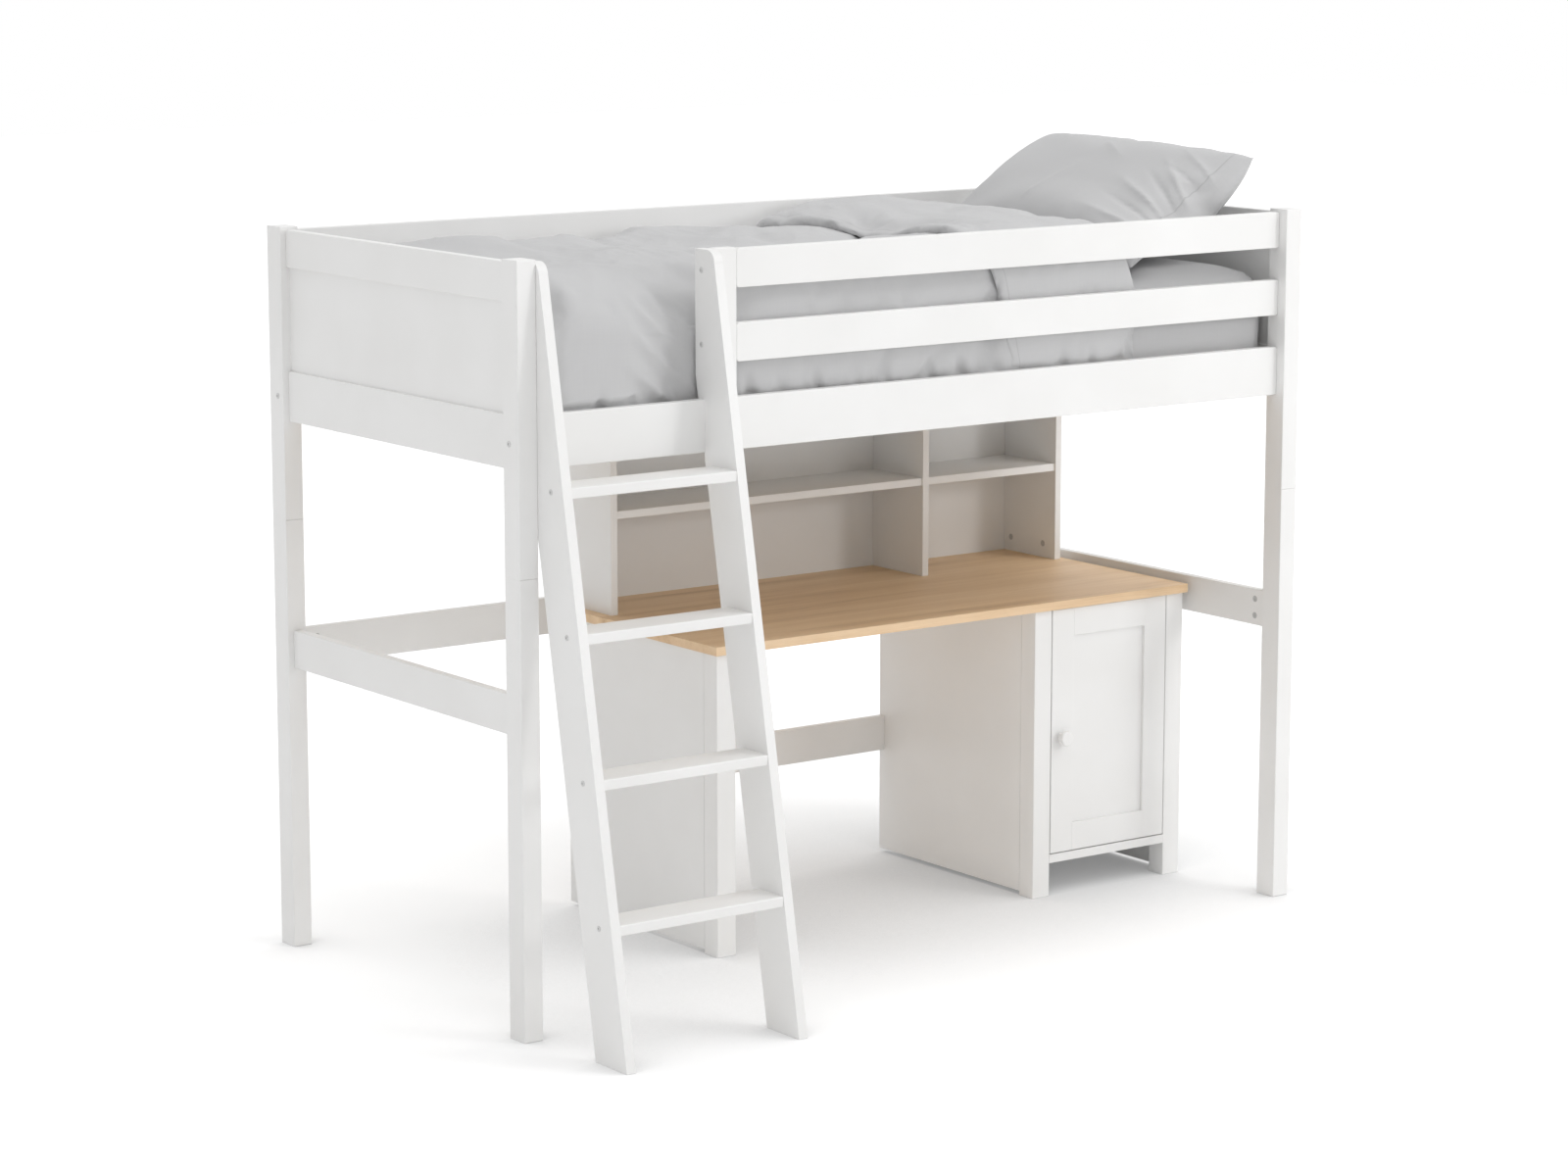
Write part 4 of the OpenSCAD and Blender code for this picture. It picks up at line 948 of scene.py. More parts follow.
def _under_faces(ids: np.ndarray, own: np.ndarray, step: int) -> list[tuple[int, ...]]:
    """Faces of the inner grid; those at the rim take in the outer points that lie between.

    Args:
        ids: point numbers of the outer grid.
        own: point numbers of the inner grid, whose rim is the outer grid's.
        step: outer cells to an inner cell.

    Returns:
        The point numbers of each face.
    """
    faces = []
    last_i, last_j = own.shape[0] - 2, own.shape[1] - 2
    for i in range(last_i + 1):
        for j in range(last_j + 1):
            across, along = slice(j * step + 1, (j + 1) * step), slice(i * step + 1, (i + 1) * step)
            loop = [own[i, j], *(ids[0, across] if i == 0 else ())]
            loop += [own[i, j + 1], *(ids[along, -1] if j == last_j else ())]
            loop += [own[i + 1, j + 1], *(ids[-1, across][::-1] if i == last_i else ())]
            loop += [own[i + 1, j], *(ids[along, 0][::-1] if j == 0 else ())]
            faces.append(tuple(map(int, loop)))
    return faces


def _volume(points: np.ndarray, quads: np.ndarray, own: np.ndarray) -> float:
    """Signed volume between an outer and an inner grid, positive when the faces look out.

    Args:
        points: all points.
        quads: point numbers of the outer faces.
        own: point numbers of the inner grid.

    Returns:
        The volume in cubic metres.
    """
    under = np.stack([own[:-1, :-1], own[:-1, 1:], own[1:, 1:], own[1:, :-1]], -1).reshape(-1, 4)
    total = 0.0
    for loops in (quads, under):
        a, b, c, d = (points[loops[:, k]] for k in range(4))
        total += float((a * np.cross(b, c)).sum() + (a * np.cross(c, d)).sum()) / 6
    return total


@dataclass(frozen=True)
class ClothRun:
    """A short cloth simulation that blows up a padded piece and wrinkles its cover."""

    growth: float
    pressure: float
    bending: float
    stiffness: float
    frames: int = 20
    quality: int = 5
    mass: float = 0.2

    def blow(self, outer: np.ndarray, inner: np.ndarray, hold: np.ndarray,
             hold_inner: float) -> tuple[np.ndarray, np.ndarray]:
        """Args:
            outer: outer points, shaped (rows, columns, 3).
            inner: inner points of every second (or each) row and column.
            hold: how firmly each outer point is held, 0 to 1, shaped (rows, columns).
            hold_inner: how firmly the inner points are held.

        Returns:
            The moves of the outer and of the inner points.
        """
        rows, cols = outer.shape[:2]
        flat = np.zeros((rows, cols))
        piece = skin_piece("cloth_run", outer, inner, np.stack([flat, flat], -1), flat, None)
        firm = np.concatenate([hold.ravel(), np.full(len(piece.data.vertices) - rows * cols, hold_inner)])
        group = piece.vertex_groups.new(name="hold")
        for weight in np.unique(firm[firm > 0]):
            group.add([int(i) for i in np.flatnonzero(firm == weight)], float(weight), "REPLACE")
        self._set_up(piece)
        for frame_number in range(1, self.frames + 1):
            bpy.context.scene.frame_set(frame_number)
        settled = piece.evaluated_get(bpy.context.evaluated_depsgraph_get()).data
        points = np.empty(3 * len(settled.vertices), np.float32)
        settled.vertices.foreach_get("co", points)
        points = points.reshape(-1, 3).astype(float)
        mesh = piece.data
        bpy.data.objects.remove(piece)
        bpy.data.meshes.remove(mesh)
        bpy.context.scene.frame_set(1)
        above = points[:rows * cols].reshape(outer.shape) - outer
        step = (rows - 1) // (inner.shape[0] - 1)
        below = above[::step, ::step].copy()
        below[1:-1, 1:-1] = points[rows * cols:].reshape(*below[1:-1, 1:-1].shape) - inner[1:-1, 1:-1]
        length = 1000 * np.linalg.norm(above, axis=2)
        LOG.info("cloth run: moved %.1f mm in the mean, %.1f mm at most", length.mean(), length.max())
        return above, below

    def _set_up(self, piece: bpy.types.Object) -> None:
        """Gives a piece its cloth modifier.

        Args:
            piece: a closed piece with a vertex group called hold.
        """
        cloth = piece.modifiers.new("cloth", "CLOTH")
        cloth.point_cache.frame_start, cloth.point_cache.frame_end = 1, self.frames
        cloth.collision_settings.use_collision = False
        cloth.collision_settings.use_self_collision = False
        settings = cloth.settings
        settings.quality, settings.mass = self.quality, self.mass
        settings.tension_stiffness = settings.compression_stiffness = self.stiffness
        settings.shear_stiffness, settings.bending_stiffness = self.stiffness / 3, self.bending
        settings.use_pressure, settings.uniform_pressure_force = True, self.pressure
        settings.shrink_min = -self.growth
        settings.effector_weights.gravity = 0.0
        settings.vertex_group_mass, settings.pin_stiffness = "hold", 1.0


@dataclass
class MattressForm:
    """Place and crown of the mattress, which the rest of the bedding lies on.

    Attributes:
        low: least corner of its solid's box.
        high: greatest corner.
        thick: height of its upright side.
        crown: how far the middle stands above the rim.
        insets: distances from the edge at which the crown's shape is given.
        shares: share of the crown that is reached at each.
        duvet_end: where the duvet ends, from the foot end.
        swell: what the bare part beyond the duvet adds to the crown.
        swell_in: length over which that part rises.
        swell_out: length over which it falls to the head end.
        swell_side: width over which it falls to each side.
        edge: strip along each side that doesn't rise.
    """

    low: Vector
    high: Vector
    thick: float = 0.190
    crown: float = 0.040
    insets: tuple[float, ...] = (0.008, 0.018, 0.036, 0.076, 0.160, 0.425)
    shares: tuple[float, ...] = (0.0, 0.35, 0.62, 0.82, 0.95, 1.0)
    duvet_end: float = 1.606
    swell: float = 0.013
    swell_in: float = 0.10
    swell_out: float = 0.16
    swell_side: float = 0.07
    edge: float = 0.008

    @property
    def rim(self) -> float:
        """Height of the mattress's upper rim."""
        return self.low.z + self.thick

    def crowned(self, inset: np.ndarray | float) -> np.ndarray | float:
        """Height of the crown above the rim at a distance from the edge."""
        return self.crown * np.interp(inset, self.insets, self.shares)

    def top(self, x: np.ndarray, y: np.ndarray) -> np.ndarray:
        """Height of the mattress top above the floor at each point."""
        inset = np.minimum(np.minimum(x - self.low.x, self.high.x - x),
                           np.minimum(y - self.low.y, self.high.y - y))
        return self.rim + self.crowned(inset) + self.rise(x, y)

    def rise(self, x: np.ndarray, y: np.ndarray) -> np.ndarray:
        """What the bare part beyond the duvet stands above the crown.

        Args:
            x: place along the bed in the frame.
            y: place across it.

        Returns:
            The height.
        """
        start = ease((x - self.low.x - self.duvet_end) / self.swell_in)
        along = start * ease((self.high.x - x) / self.swell_out)
        inset = np.minimum(y - self.low.y, self.high.y - y)
        return self.swell * along * ease((inset - self.edge) / self.swell_side)


@dataclass
class FittedSheet:
    """The mattress in its fitted sheet: rounded rings with a crowned top.

    Attributes:
        form: place and crown of the mattress.
        corner: radius of its upright corners.
        least_corner: the same on the innermost ring.
        under_edge: inset and height of the rings round its lower edge.
        side: lowest and highest ring of the upright side, and the step between rings.
        bow: how far the side bulges.
        upper_edge: inset and height of the rings below the crown.
        crown_rings: number of rings on the crown.
        crown_insets: inset of the first, and what the last leaves of the half width.
        gather: how much closer the rings lie near the edge.
        bend_points: points round each corner.
        side_points: points along a long and along a short side.
        tight: waves of the whole sheet.
        drawn: waves that run into the corners.
        tight_share: how much the first count beside the second.
        corner_reach: how far from a corner the second reach.
        depths: depth of the wrinkles all over, and what a corner adds.
        calm: height over which the wrinkles begin above the lower edge, and over which they
            fade below the top.
        top_share: share of their depth that goes down instead of in.
    """

    form: MattressForm
    corner: float = 0.036
    least_corner: float = 0.004
    under_edge: tuple[tuple[float, float], ...] = ((0.018, 0.0), (0.010, 0.002), (0.005, 0.007),
                                                   (0.001, 0.016), (0.0, 0.03))
    side: tuple[float, float, float] = (0.044, 0.150, 0.014)
    bow: float = 0.001
    upper_edge: tuple[tuple[float, float], ...] = ((0.0, 0.156), (0.001, 0.166),
                                                   (0.003, 0.178), (0.008, 0.188))
    crown_rings: int = 34
    crown_insets: tuple[float, float] = (0.010, 0.004)
    gather: float = 1.35
    bend_points: int = 7
    side_points: tuple[int, int] = (120, 60)
    tight: Waves = Waves(0.16, 10)
    drawn: Waves = Waves(0.055, 10)
    tight_share: float = 0.35
    corner_reach: float = 0.22
    depths: tuple[float, float] = (0.0006, 0.0016)
    calm: tuple[float, float] = (0.03, 0.02)
    top_share: float = 0.6

    def build(self, material: bpy.types.Material) -> bpy.types.Object:
        """Makes the piece.

        Args:
            material: its finish.

        Returns:
            The mattress, at the origin.
        """
        form = self.form
        points = self._crease(self._rings())
        ids = np.arange(points.shape[0] * points.shape[1]).reshape(points.shape[:2])
        after = np.roll(ids, -1, axis=1)
        quads = np.stack([ids[:-1], after[:-1], after[1:], ids[1:]], -1).reshape(-1, 4)
        faces = [tuple(map(int, q)) for q in quads]
        faces += [tuple(int(k) for k in ids[0][::-1]), tuple(int(k) for k in ids[-1])]
        flat = points.reshape(-1, 3)
        on_top = flat[:, 2] > form.rim - 0.002
        beside = np.column_stack([flat[:, 0] + flat[:, 1], flat[:, 2]])
        cloth = np.where(on_top[:, None], flat[:, :2], beside)
        return cloth_piece("mattress_in_sheet", flat, faces, cloth, np.ones(len(flat)), material)

    def _rings(self) -> np.ndarray:
        """Lays the smooth form, ring by ring from the lower edge to the crown's middle.

        Returns:
            The points, shaped (rings, points of a ring, 3).
        """
        low, high, form = self.form.low, self.form.high, self.form
        half_x, half_y = (high.x - low.x) / 2, (high.y - low.y) / 2
        centre = Vector(((high.x + low.x) / 2, (high.y + low.y) / 2, 0.0))
        side = [(-self.bow * math.sin(math.pi * z / form.thick), z) for z in np.arange(*self.side)]
        first, left = self.crown_insets
        insets = np.interp(np.linspace(0, 1, self.crown_rings) ** self.gather, [0, 1], [first, half_y - left])
        top = [(inset, form.rim - low.z + float(form.crowned(inset))) for inset in insets]
        rings = []
        for inset, height in (*self.under_edge, *side, *self.upper_edge, *top):
            radius = max(self.corner - inset, self.least_corner)
            rings.append([(*p, height) for p in self._outline(half_x - inset, half_y - inset, radius)])
        points = np.array(rings) + (centre.x, centre.y, low.z)
        points[..., 2] += form.rise(points[..., 0], points[..., 1]) * (points[..., 2] > form.rim - 0.001)
        return points

    def _outline(self, half_x: float, half_y: float, r: float) -> list[tuple[float, float]]:
        """Points round a rectangle with round corners, as many for each size.

        Args:
            half_x: half its length.
            half_y: half its width.
            r: radius of its corners.

        Returns:
            The points, from its right side round over the back.
        """
        middles = [(sx * (half_x - r), sy * (half_y - r)) for sx, sy in ((1, 1), (-1, 1), (-1, -1), (1, -1))]
        out = []
        for quarter, (cx, cy) in enumerate(middles):
            turns = np.linspace(math.pi / 2 * quarter, math.pi / 2 * (quarter + 1), self.bend_points)
            out += [(cx + r * math.cos(a), cy + r * math.sin(a)) for a in turns]
            after = (quarter + 1) % 4
            nx, ny = middles[after]
            start = np.array(out[-1])
            end = np.array((nx + r * math.cos(math.pi / 2 * after), ny + r * math.sin(math.pi / 2 * after)))
            count = self.side_points[quarter % 2]
            out += [tuple(start + (end - start) * k / count) for k in range(1, count)]
        return out

    def _crease(self, points: np.ndarray) -> np.ndarray:
        """Adds the shallow wrinkles of a tight sheet, deepest at the corners.

        Args:
            points: the smooth form.

        Returns:
            The wrinkled form.
        """
        low, high = self.form.low, self.form.high
        x, y, z = points[..., 0], points[..., 1], points[..., 2]
        lattice = Lattice(SEED + 1)
        at_corner = np.minimum(np.abs(x - low.x), np.abs(high.x - x)) + np.minimum(
            np.abs(y - low.y), np.abs(high.y - y))
        near = np.exp(-(at_corner / self.corner_reach) ** 2)
        wave = lattice.waves(x + y, z, self.tight) * self.tight_share
        wave = wave + lattice.waves(x + y, z, self.drawn) * near
        out = np.stack([x - (low.x + high.x) / 2, y - (low.y + high.y) / 2], -1)
        out /= np.maximum(np.linalg.norm(out, axis=-1, keepdims=True), 1e-9)
        above, below = self.calm
        level = np.clip((z - low.z - above) / above, 0, 1) * np.clip((high.z - z) / below, 0.2, 1)
        depth = np.abs((self.depths[0] + self.depths[1] * near) * wave * level)
        down = depth * self.top_share * level
        return points - np.stack([depth * out[..., 0], depth * out[..., 1], down], -1)


@dataclass
class Duvet:
    """A duvet over the mattress, its front side hanging and its head end turned back.

    The outer sheet is a grid: its rows run along the bed from the foot end, go under
    the hem of the turned-back part, come out over it and end at the head; its columns
    run from the back over the top and down the hanging side.  Lengths are metres from
    the outer front corner of the foot end.

    Attributes:
        origin: that corner, in the frame.
        form: place and crown of the mattress.
        foot_x, head_x: the duvet's two ends.
        back_y: its edge at the back rail.
        side_y: outer face of the hanging side.
        inner_y: its inner face, along the mattress.
        hem_z: lower edge of the hanging side.
        rail_z: top of the side rail.
        guard_y: inner face of the rails in front of it.
        bay: from where to where the side stands out between the stiles.
        bay_ease: length over which it does so at either end, and share of its height.
        gap: the open width between the stiles.
        bay_swell: how far it stands out there.
        guard_x: where the guard rails begin.
        guard_swell: how far the side stands out behind them, and what its turned-back part adds.
        hem_hollow: depth and half width of the hollow that the hem presses into the side.
        pocket, pocket_x: depth and place of the hollow behind the right stile.
        pocket_share: share of that depth along the mattress, and what is added above it.
        pocket_width: half width along the mattress, and what is added above it.
        edge_t: share of a column that lies on the top.
        edge_y, edge_z: width and height of the rounded front edge.
        edge_share: share of the top's width that it takes, and share of the side's height.
        back_z: how far the back edge drops, and back_share over what share of the width.
        least_loft: least thickness over the mattress.
        loft: height above the mattress crown.
        edge_loft: the same at the two ends.
        end_ease: length over which the loft rises from the foot end and falls to the head end.
        turned_loft: what the turned-back part adds, and hem_thick what its hem adds.
        hem_x: hem of the turned-back part.
        tuck: how far the gap below the hem goes in.
        side_slip: how much further along the hem lies on the hanging side, and what its
            lower part adds.
        cell: distance between grid lines.
        fold_waves: height, length along and length across of each broad fold.
        fold_share: share of them below the hem, and what the turned-back part takes off it.
        patches: where the short folds gather, and warps what bends all folds.
        long_folds, short_folds, fine_folds: the folds all over.
        fan_folds: the folds that run down the side to the right stile.
        notches: the wavy lower hem of the side.
        puckers, small_puckers: the gathers along the turned-back part's hem.
        small_share: how much the small ones count beside the others.
        run: the simulation that blows it up.
        hem_stitch: the stitched line's distance from the hem.
        grip: how firmly the simulation holds the sheet.
        keep: share of the simulation's broad swelling that stays.
        cap_top, cap_side: longest move on the top and on the side.
        rail_gap: height over the side rail that the cloth keeps clear.
        lining_gap: least thickness of the hanging side.
        top_gap: least height of the outer sheet over the mattress.
        settle: length over which the cloth gives way softly.
    """

    origin: Vector
    form: MattressForm
    foot_x: float = 0.076
    head_x: float = 1.664
    back_y: float = 0.950
    side_y: float = 0.0582
    inner_y: float = 0.0664
    hem_z: float = 1.2565
    rail_z: float = 1.286
    guard_y: float = 0.0484
    bay: tuple[float, float] = (0.077, 0.452)
    bay_ease: tuple[float, float, float] = (0.090, 0.190, 0.45)
    gap: tuple[float, float] = (0.072, 0.458)
    bay_swell: float = 0.014
    guard_x: float = 0.497
    guard_swell: tuple[float, float] = (0.0025, 0.0062)
    hem_hollow: tuple[float, float] = (0.0065, 0.040)
    pocket: float = 0.033
    pocket_x: float = 0.490
    pocket_share: tuple[float, float] = (0.42, 0.58)
    pocket_width: tuple[float, float] = (0.055, 0.030)
    edge_t: float = 0.72
    edge_y: float = 0.026
    edge_z: float = 0.034
    edge_share: tuple[float, float] = (0.14, 0.18)
    back_z: float = 0.055
    back_share: float = 0.08
    least_loft: float = 0.010
    loft: float = 0.078
    edge_loft: float = 0.014
    end_ease: tuple[float, float] = (0.110, 0.060)
    turned_loft: float = 0.040
    hem_x: float = 1.255
    hem_thick: float = 0.026
    tuck: float = 0.045
    side_slip: tuple[float, float] = (0.014, 0.055)
    cell: float = 0.0115
    fold_waves: tuple[tuple[float, float, float], ...] = (
        (0.010, 0.092, 0.210), (0.007, -0.160, 0.074), (0.004, 0.047, math.inf))
    fold_share: tuple[float, float] = (0.8, 0.5)
    patches: Waves = Waves(0.42, 8)
    warps: Waves = Waves(0.30, 6, depth=0.030)
    long_folds: Waves = Waves(0.26, 9, 0.5, 0.5, 0.0042)
    short_folds: Waves = Waves(0.085, 12, 0.25, 0.7, 0.0013)
    fine_folds: Waves = Waves(0.030, 12, 0.4, 0.9, 0.0002)
    fan_folds: Waves = Waves(0.105, 9, -0.85, 0.3, 0.0048)
    notches: Waves = Waves(0.075, 7, depth=0.0100)
    puckers: Waves = Waves(0.055, 9, depth=0.0016)
    small_puckers: Waves = Waves(0.022, 7)
    small_share: float = 0.6
    run: ClothRun = ClothRun(0.030, 1.0, 0.5, 15.0)
    hem_stitch: float = 0.030
    grip: float = 0.1
    keep: float = 0.25
    cap_top: float = 0.012
    cap_side: float = 0.009
    rail_gap: float = 0.004
    lining_gap: float = 0.0022
    top_gap: float = 0.0035
    settle: float = 0.0015

    def folds(self, x: np.ndarray, y: np.ndarray) -> np.ndarray:
        """Height of the broad soft folds on the top, in metres."""
        return sum(height * np.sin(x / along + y / across) for height, along, across in self.fold_waves)

    def loft_at(self, x: np.ndarray, y: np.ndarray, turned: float) -> np.ndarray:
        """Height of the outer sheet above the mattress crown.

        Args:
            x: place along the bed.
            y: place across it.
            turned: 0 for the lower layer, 1 for the turned-back layer.

        Returns:
            The height.
        """
        foot, head = self.end_ease
        edge = ease((x - self.foot_x) / foot) * ease((self.head_x - x + 0.012) / head)
        rise = self.hem_thick + (self.turned_loft - self.hem_thick) * ease((x - self.hem_x) / 0.160)
        calm = self.fold_share[0] - self.fold_share[1] * ease((x - self.hem_x) / 0.060)
        full = self.loft - self.edge_loft + self.folds(x, y) * calm + rise * turned
        return self.edge_loft + edge * full

    def swell(self, x: np.ndarray, turned: float) -> np.ndarray:
        """How far the hanging side stands out along the guard.

        Args:
            x: place along the bed.
            turned: as in loft_at.

        Returns:
            The distance, less where the hem presses on the side.
        """
        guard = ease((x - self.guard_x) / 0.060) * ease((self.head_x - x) / 0.040)
        depth, width = self.hem_hollow
        hollow = depth * np.exp(-((x - self.hem_x) / width) ** 2) * (1 - turned)
        return guard * (self.guard_swell[0] + self.guard_swell[1] * turned) - hollow

    def tucked(self, x: np.ndarray, z: np.ndarray) -> np.ndarray:
        """How far the side is drawn in behind the right stile, most of it above the mattress.

        Args:
            x: place along the bed.
            z: height above the floor.

        Returns:
            The distance.
        """
        high = ease((z - self.form.rim) / 0.050)
        share, width = (low + more * high for low, more in (self.pocket_share, self.pocket_width))
        return self.pocket * share * np.exp(-((x - self.pocket_x) / width) ** 2)

    def split(self, t: np.ndarray) -> tuple[np.ndarray, np.ndarray, np.ndarray]:
        """Parts a place across the sheet into its place on the top and on the side.

        Args:
            t: 0 at the back, edge_t at the front edge, 1 at the hem of the side.

        Returns:
            The share of the top and of the side that is passed, and which points are on the side.
        """
        over = np.clip(t / self.edge_t, 0, 1)
        down = np.clip((t - self.edge_t) / (1 - self.edge_t), 0, 1)
        return over, down, t > self.edge_t

    def layer(self, x: np.ndarray, t: np.ndarray, turned: float) -> np.ndarray:
        """Points of one layer's outer face.

        Args:
            x: place along the bed.
            t: place across the sheet, as in split.
            turned: as in loft_at.

        Returns:
            The points.
        """
        under = self.form.rim + self.form.crown
        front = self.side_y + self.edge_y
        u, v, side = self.split(t)
        z_edge = under + self.loft_at(x, np.full_like(x, front), turned) - self.edge_z
        y_top = self.back_y + (front + self.tucked(x, z_edge) - self.back_y) * u
        on_top, on_side = self.edge_share
        drop = self.edge_z * np.clip((u - (1 - on_top)) / on_top, 0, 1) ** 2
        drop = drop + self.back_z * np.clip((self.back_share - u) / self.back_share, 0, 1) ** 2
        z_top = under + np.maximum(self.least_loft, self.loft_at(x, y_top, turned) - drop)
        z_side = z_edge + (self.hem_z - z_edge) * v
        hang = np.sin(math.pi * v) * (z_side > self.hem_z + self.edge_z)
        left, right, height = self.bay_ease
        bay = ease((x - self.bay[0]) / left) * ease((self.bay[1] - x) / right) * ease(v / height)
        y_side = self.side_y + self.edge_y * (1 - np.minimum(1, v / on_side)) ** 2
        y_side = y_side - self.swell(x, turned) * hang
        y_side = y_side - (self.side_y - self.guard_y + self.bay_swell * 0.9) * bay
        y_side = y_side + self.tucked(x, z_side)
        return np.stack([x, np.where(side, y_side, y_top), np.where(side, z_side, z_top)], -1)

    def lining(self, x: np.ndarray, t: np.ndarray) -> np.ndarray:
        """Points of the under side, which follows the mattress.

        Args:
            x: place along the bed.
            t: place across the sheet, as in split.

        Returns:
            The points.
        """
        u, v, side = self.split(t)
        y = self.back_y + (self.inner_y - self.back_y) * u
        z = self.form.top(x + self.origin.x, y + self.origin.y) + 0.0015
        z_side = self.form.rim + (self.hem_z - self.form.rim) * v
        return np.stack([x, np.where(side, self.inner_y, y), np.where(side, z_side, z)], -1)

    def rows(self) -> tuple[np.ndarray, np.ndarray, np.ndarray]:
        """Lays the rows of the outer sheet.

        Returns:
            Their places along the bed, shares of the turned layer, and fullness.
        """
        hem, tuck, head, foot = self.hem_x, self.tuck, self.head_x, self.foot_x
        path = [(foot + 0.006, 0, 0.0), (foot + 0.0015, 0, 0.35), (foot, 0, 0.75), (foot + 0.004, 0, 1.0)]
        count = int((hem + tuck - foot - 0.02) / self.cell)
        path += [(x, 0, 1.0) for x in np.linspace(foot + 0.012, hem + tuck - 0.006, count)]
        path += [(hem + tuck + dx, share, 1.0) for dx, share in ((0, 0.03), (-0.004, 0.07), (-0.018, 0.08))]
        path += [(hem + dx, share, 1.0) for dx, share in (
            (0.012, 0.10), (0, 0.16), (-0.006, 0.30), (-0.008, 0.50), (-0.0068, 0.72), (-0.001, 0.90),
            (0.009, 0.98))]
        count = int((head - 0.016 - hem - 0.02) / self.cell)
        path += [(x, 1.0, 1.0) for x in np.linspace(hem + 0.020, head - 0.012, count)]
        path += [(head - dx, 1.0, full) for dx, full in (
            (0.003, 0.9), (0, 0.6), (0.0045, 0.25), (0.010, 0.0))]
        x, turned, full = odd_lines(path, 6)
        return x, turned, full

    def columns(self) -> tuple[np.ndarray, np.ndarray]:
        """Lays the columns of the outer sheet.

        Returns:
            Their places across it, as in split, and fullness.
        """
        across = [(0.0, 0.0), (0.0008, 0.3), (0.0016, 0.62), (0.003, 0.88), (0.007, 1.0)]
        across += [(t, 1.0) for t in np.linspace(0.016, self.edge_t, 76)]
        across += [(t, 1.0) for t in np.linspace(0.735, 0.994, 24)]
        across += [(0.997, 0.8), (0.9985, 0.45), (1.0, 0.0)]
        t, full = odd_lines(across, 8)
        return t, full

    def shape(self) -> tuple[np.ndarray, np.ndarray, np.ndarray]:
        """Builds the grids.

        Returns:
            Outer points, inner points of every second line, and the rows' turned share.
        """
        x, turned, along = self.rows()
        t, across = self.columns()
        grid_x, grid_t = np.meshgrid(x, t, indexing="ij")
        slip = self.side_slip[0] + np.clip((grid_t - 0.75) / 0.25, 0, 1) * self.side_slip[1]
        near_hem = np.exp(-((grid_x - self.hem_x) / 0.12) ** 2)
        shifted = grid_x + near_hem * slip * np.clip((grid_t - 0.66) / 0.06, 0, 1)
        low = self.layer(shifted, grid_t, 0.0)
        high = self.layer(shifted, grid_t, 1.0)
        outer = low + (high - low) * turned[:, None, None]
        even = self.lining(np.linspace(x[0], x[-1], len(x))[:, None] + 0 * grid_t, grid_t)
        own = self.lining(shifted, grid_t)
        full = np.minimum(along[:, None], across[None, :])[..., None]
        return own + (outer - own) * full, even[::2, ::2], turned

    def room(self, points: np.ndarray, turned: np.ndarray) -> np.ndarray:
        """Keeps the cloth off the guard, the stiles, the mattress and the head end.

        Args:
            points: outer points.
            turned: share of the turned-back layer of each row.

        Returns:
            The points, moved where they stood in the way.
        """
        x, y, z = (points[..., k].copy() for k in range(3))
        turned = turned[:, None]
        between = ease((x - self.gap[0]) / 0.030) * ease((self.gap[1] - x) / 0.060)
        open_air = between * ease((z - self.rail_z - self.rail_gap) / 0.012)
        guard = ease((x - self.guard_x - 0.011) / 0.030)
        least = self.side_y - (self.side_y - self.guard_y) * (between + guard) - self.bay_swell * open_air
        least = least + 0.0040 * (1 - ease(turned / 0.5)) * np.exp(-((x - self.hem_x - 0.02) / 0.045) ** 2)
        y = least + softplus(y - least, self.settle)
        beside = (z < self.form.rim - 0.006) & (y < self.form.low.y - self.origin.y + 0.02)
        y = np.where(beside, np.minimum(y, self.inner_y - self.lining_gap), y)
        above = self.form.top(x + self.origin.x, y + self.origin.y) + self.top_gap
        z = np.where(~beside & (y > self.inner_y), np.maximum(z, above), z)
        x = np.clip(x, self.foot_x, self.head_x)
        return np.stack([x, np.minimum(y, self.back_y), np.maximum(z, self.hem_z)], -1)

    def wrinkle(self, points: np.ndarray, t: np.ndarray, turned: np.ndarray) -> np.ndarray:
        """Adds the creases that are finer than the simulation's.

        Args:
            points: outer points.
            t: place across the sheet of each column.
            turned: share of the turned-back layer of each row.

        Returns:
            The wrinkled points.
        """
        lattice = Lattice(SEED + 7)
        x = points[..., 0]
        run = np.broadcast_to(arc_length(points[len(points) // 4])[None, :], x.shape)
        patch = ease(0.5 + 0.9 * lattice.waves(x, run, self.patches))
        warp = self.warps.depth * lattice.waves(x, run, self.warps)
        long = lattice.waves(x + warp, run - warp, self.long_folds)
        short = lattice.waves(x - warp, run + warp, self.short_folds)
        fine = lattice.waves(x + warp, run, self.fine_folds)
        side = ease((t - 0.70) / 0.05)[None, :]
        bulk = self.long_folds.depth * (1 - 0.45 * side) * (0.75 - np.abs(long))
        bulk = bulk + self.short_folds.depth * patch * (0.7 - np.abs(short))
        bulk = bulk + self.fine_folds.depth * patch * fine
        drawn = ease((x - 0.20) / 0.16) * ease((0.52 - x) / 0.05) * side
        fan = lattice.waves(x + 0.5 * warp, run - 0.5 * warp, self.fan_folds)
        bulk = bulk + self.fan_folds.depth * drawn * (0.6 - np.abs(fan)) - 0.0030 * drawn
        notch = np.maximum(0.0, lattice.waves(x + 0.25 * (1 - t)[None, :], 0 * x, self.notches) - 0.30)
        bulk = bulk - self.notches.depth * ease((t - 0.90) / 0.09)[None, :] * notch
        lip = np.exp(-((turned - 0.5) / 0.38) ** 2)[:, None] * (turned[:, None] > 0.02)
        pucker = lattice.waves(run, 0 * run, self.puckers)
        pucker = pucker + self.small_share * lattice.waves(run, 0 * run, self.small_puckers)
        bulk = bulk + self.puckers.depth * lip * pucker
        rim, ends = (np.minimum(1.0, from_ends(len(line)) / 8.0) for line in (t, turned))
        return points + normals_of(points) * (bulk * rim[None, :] * ends[:, None])[..., None]

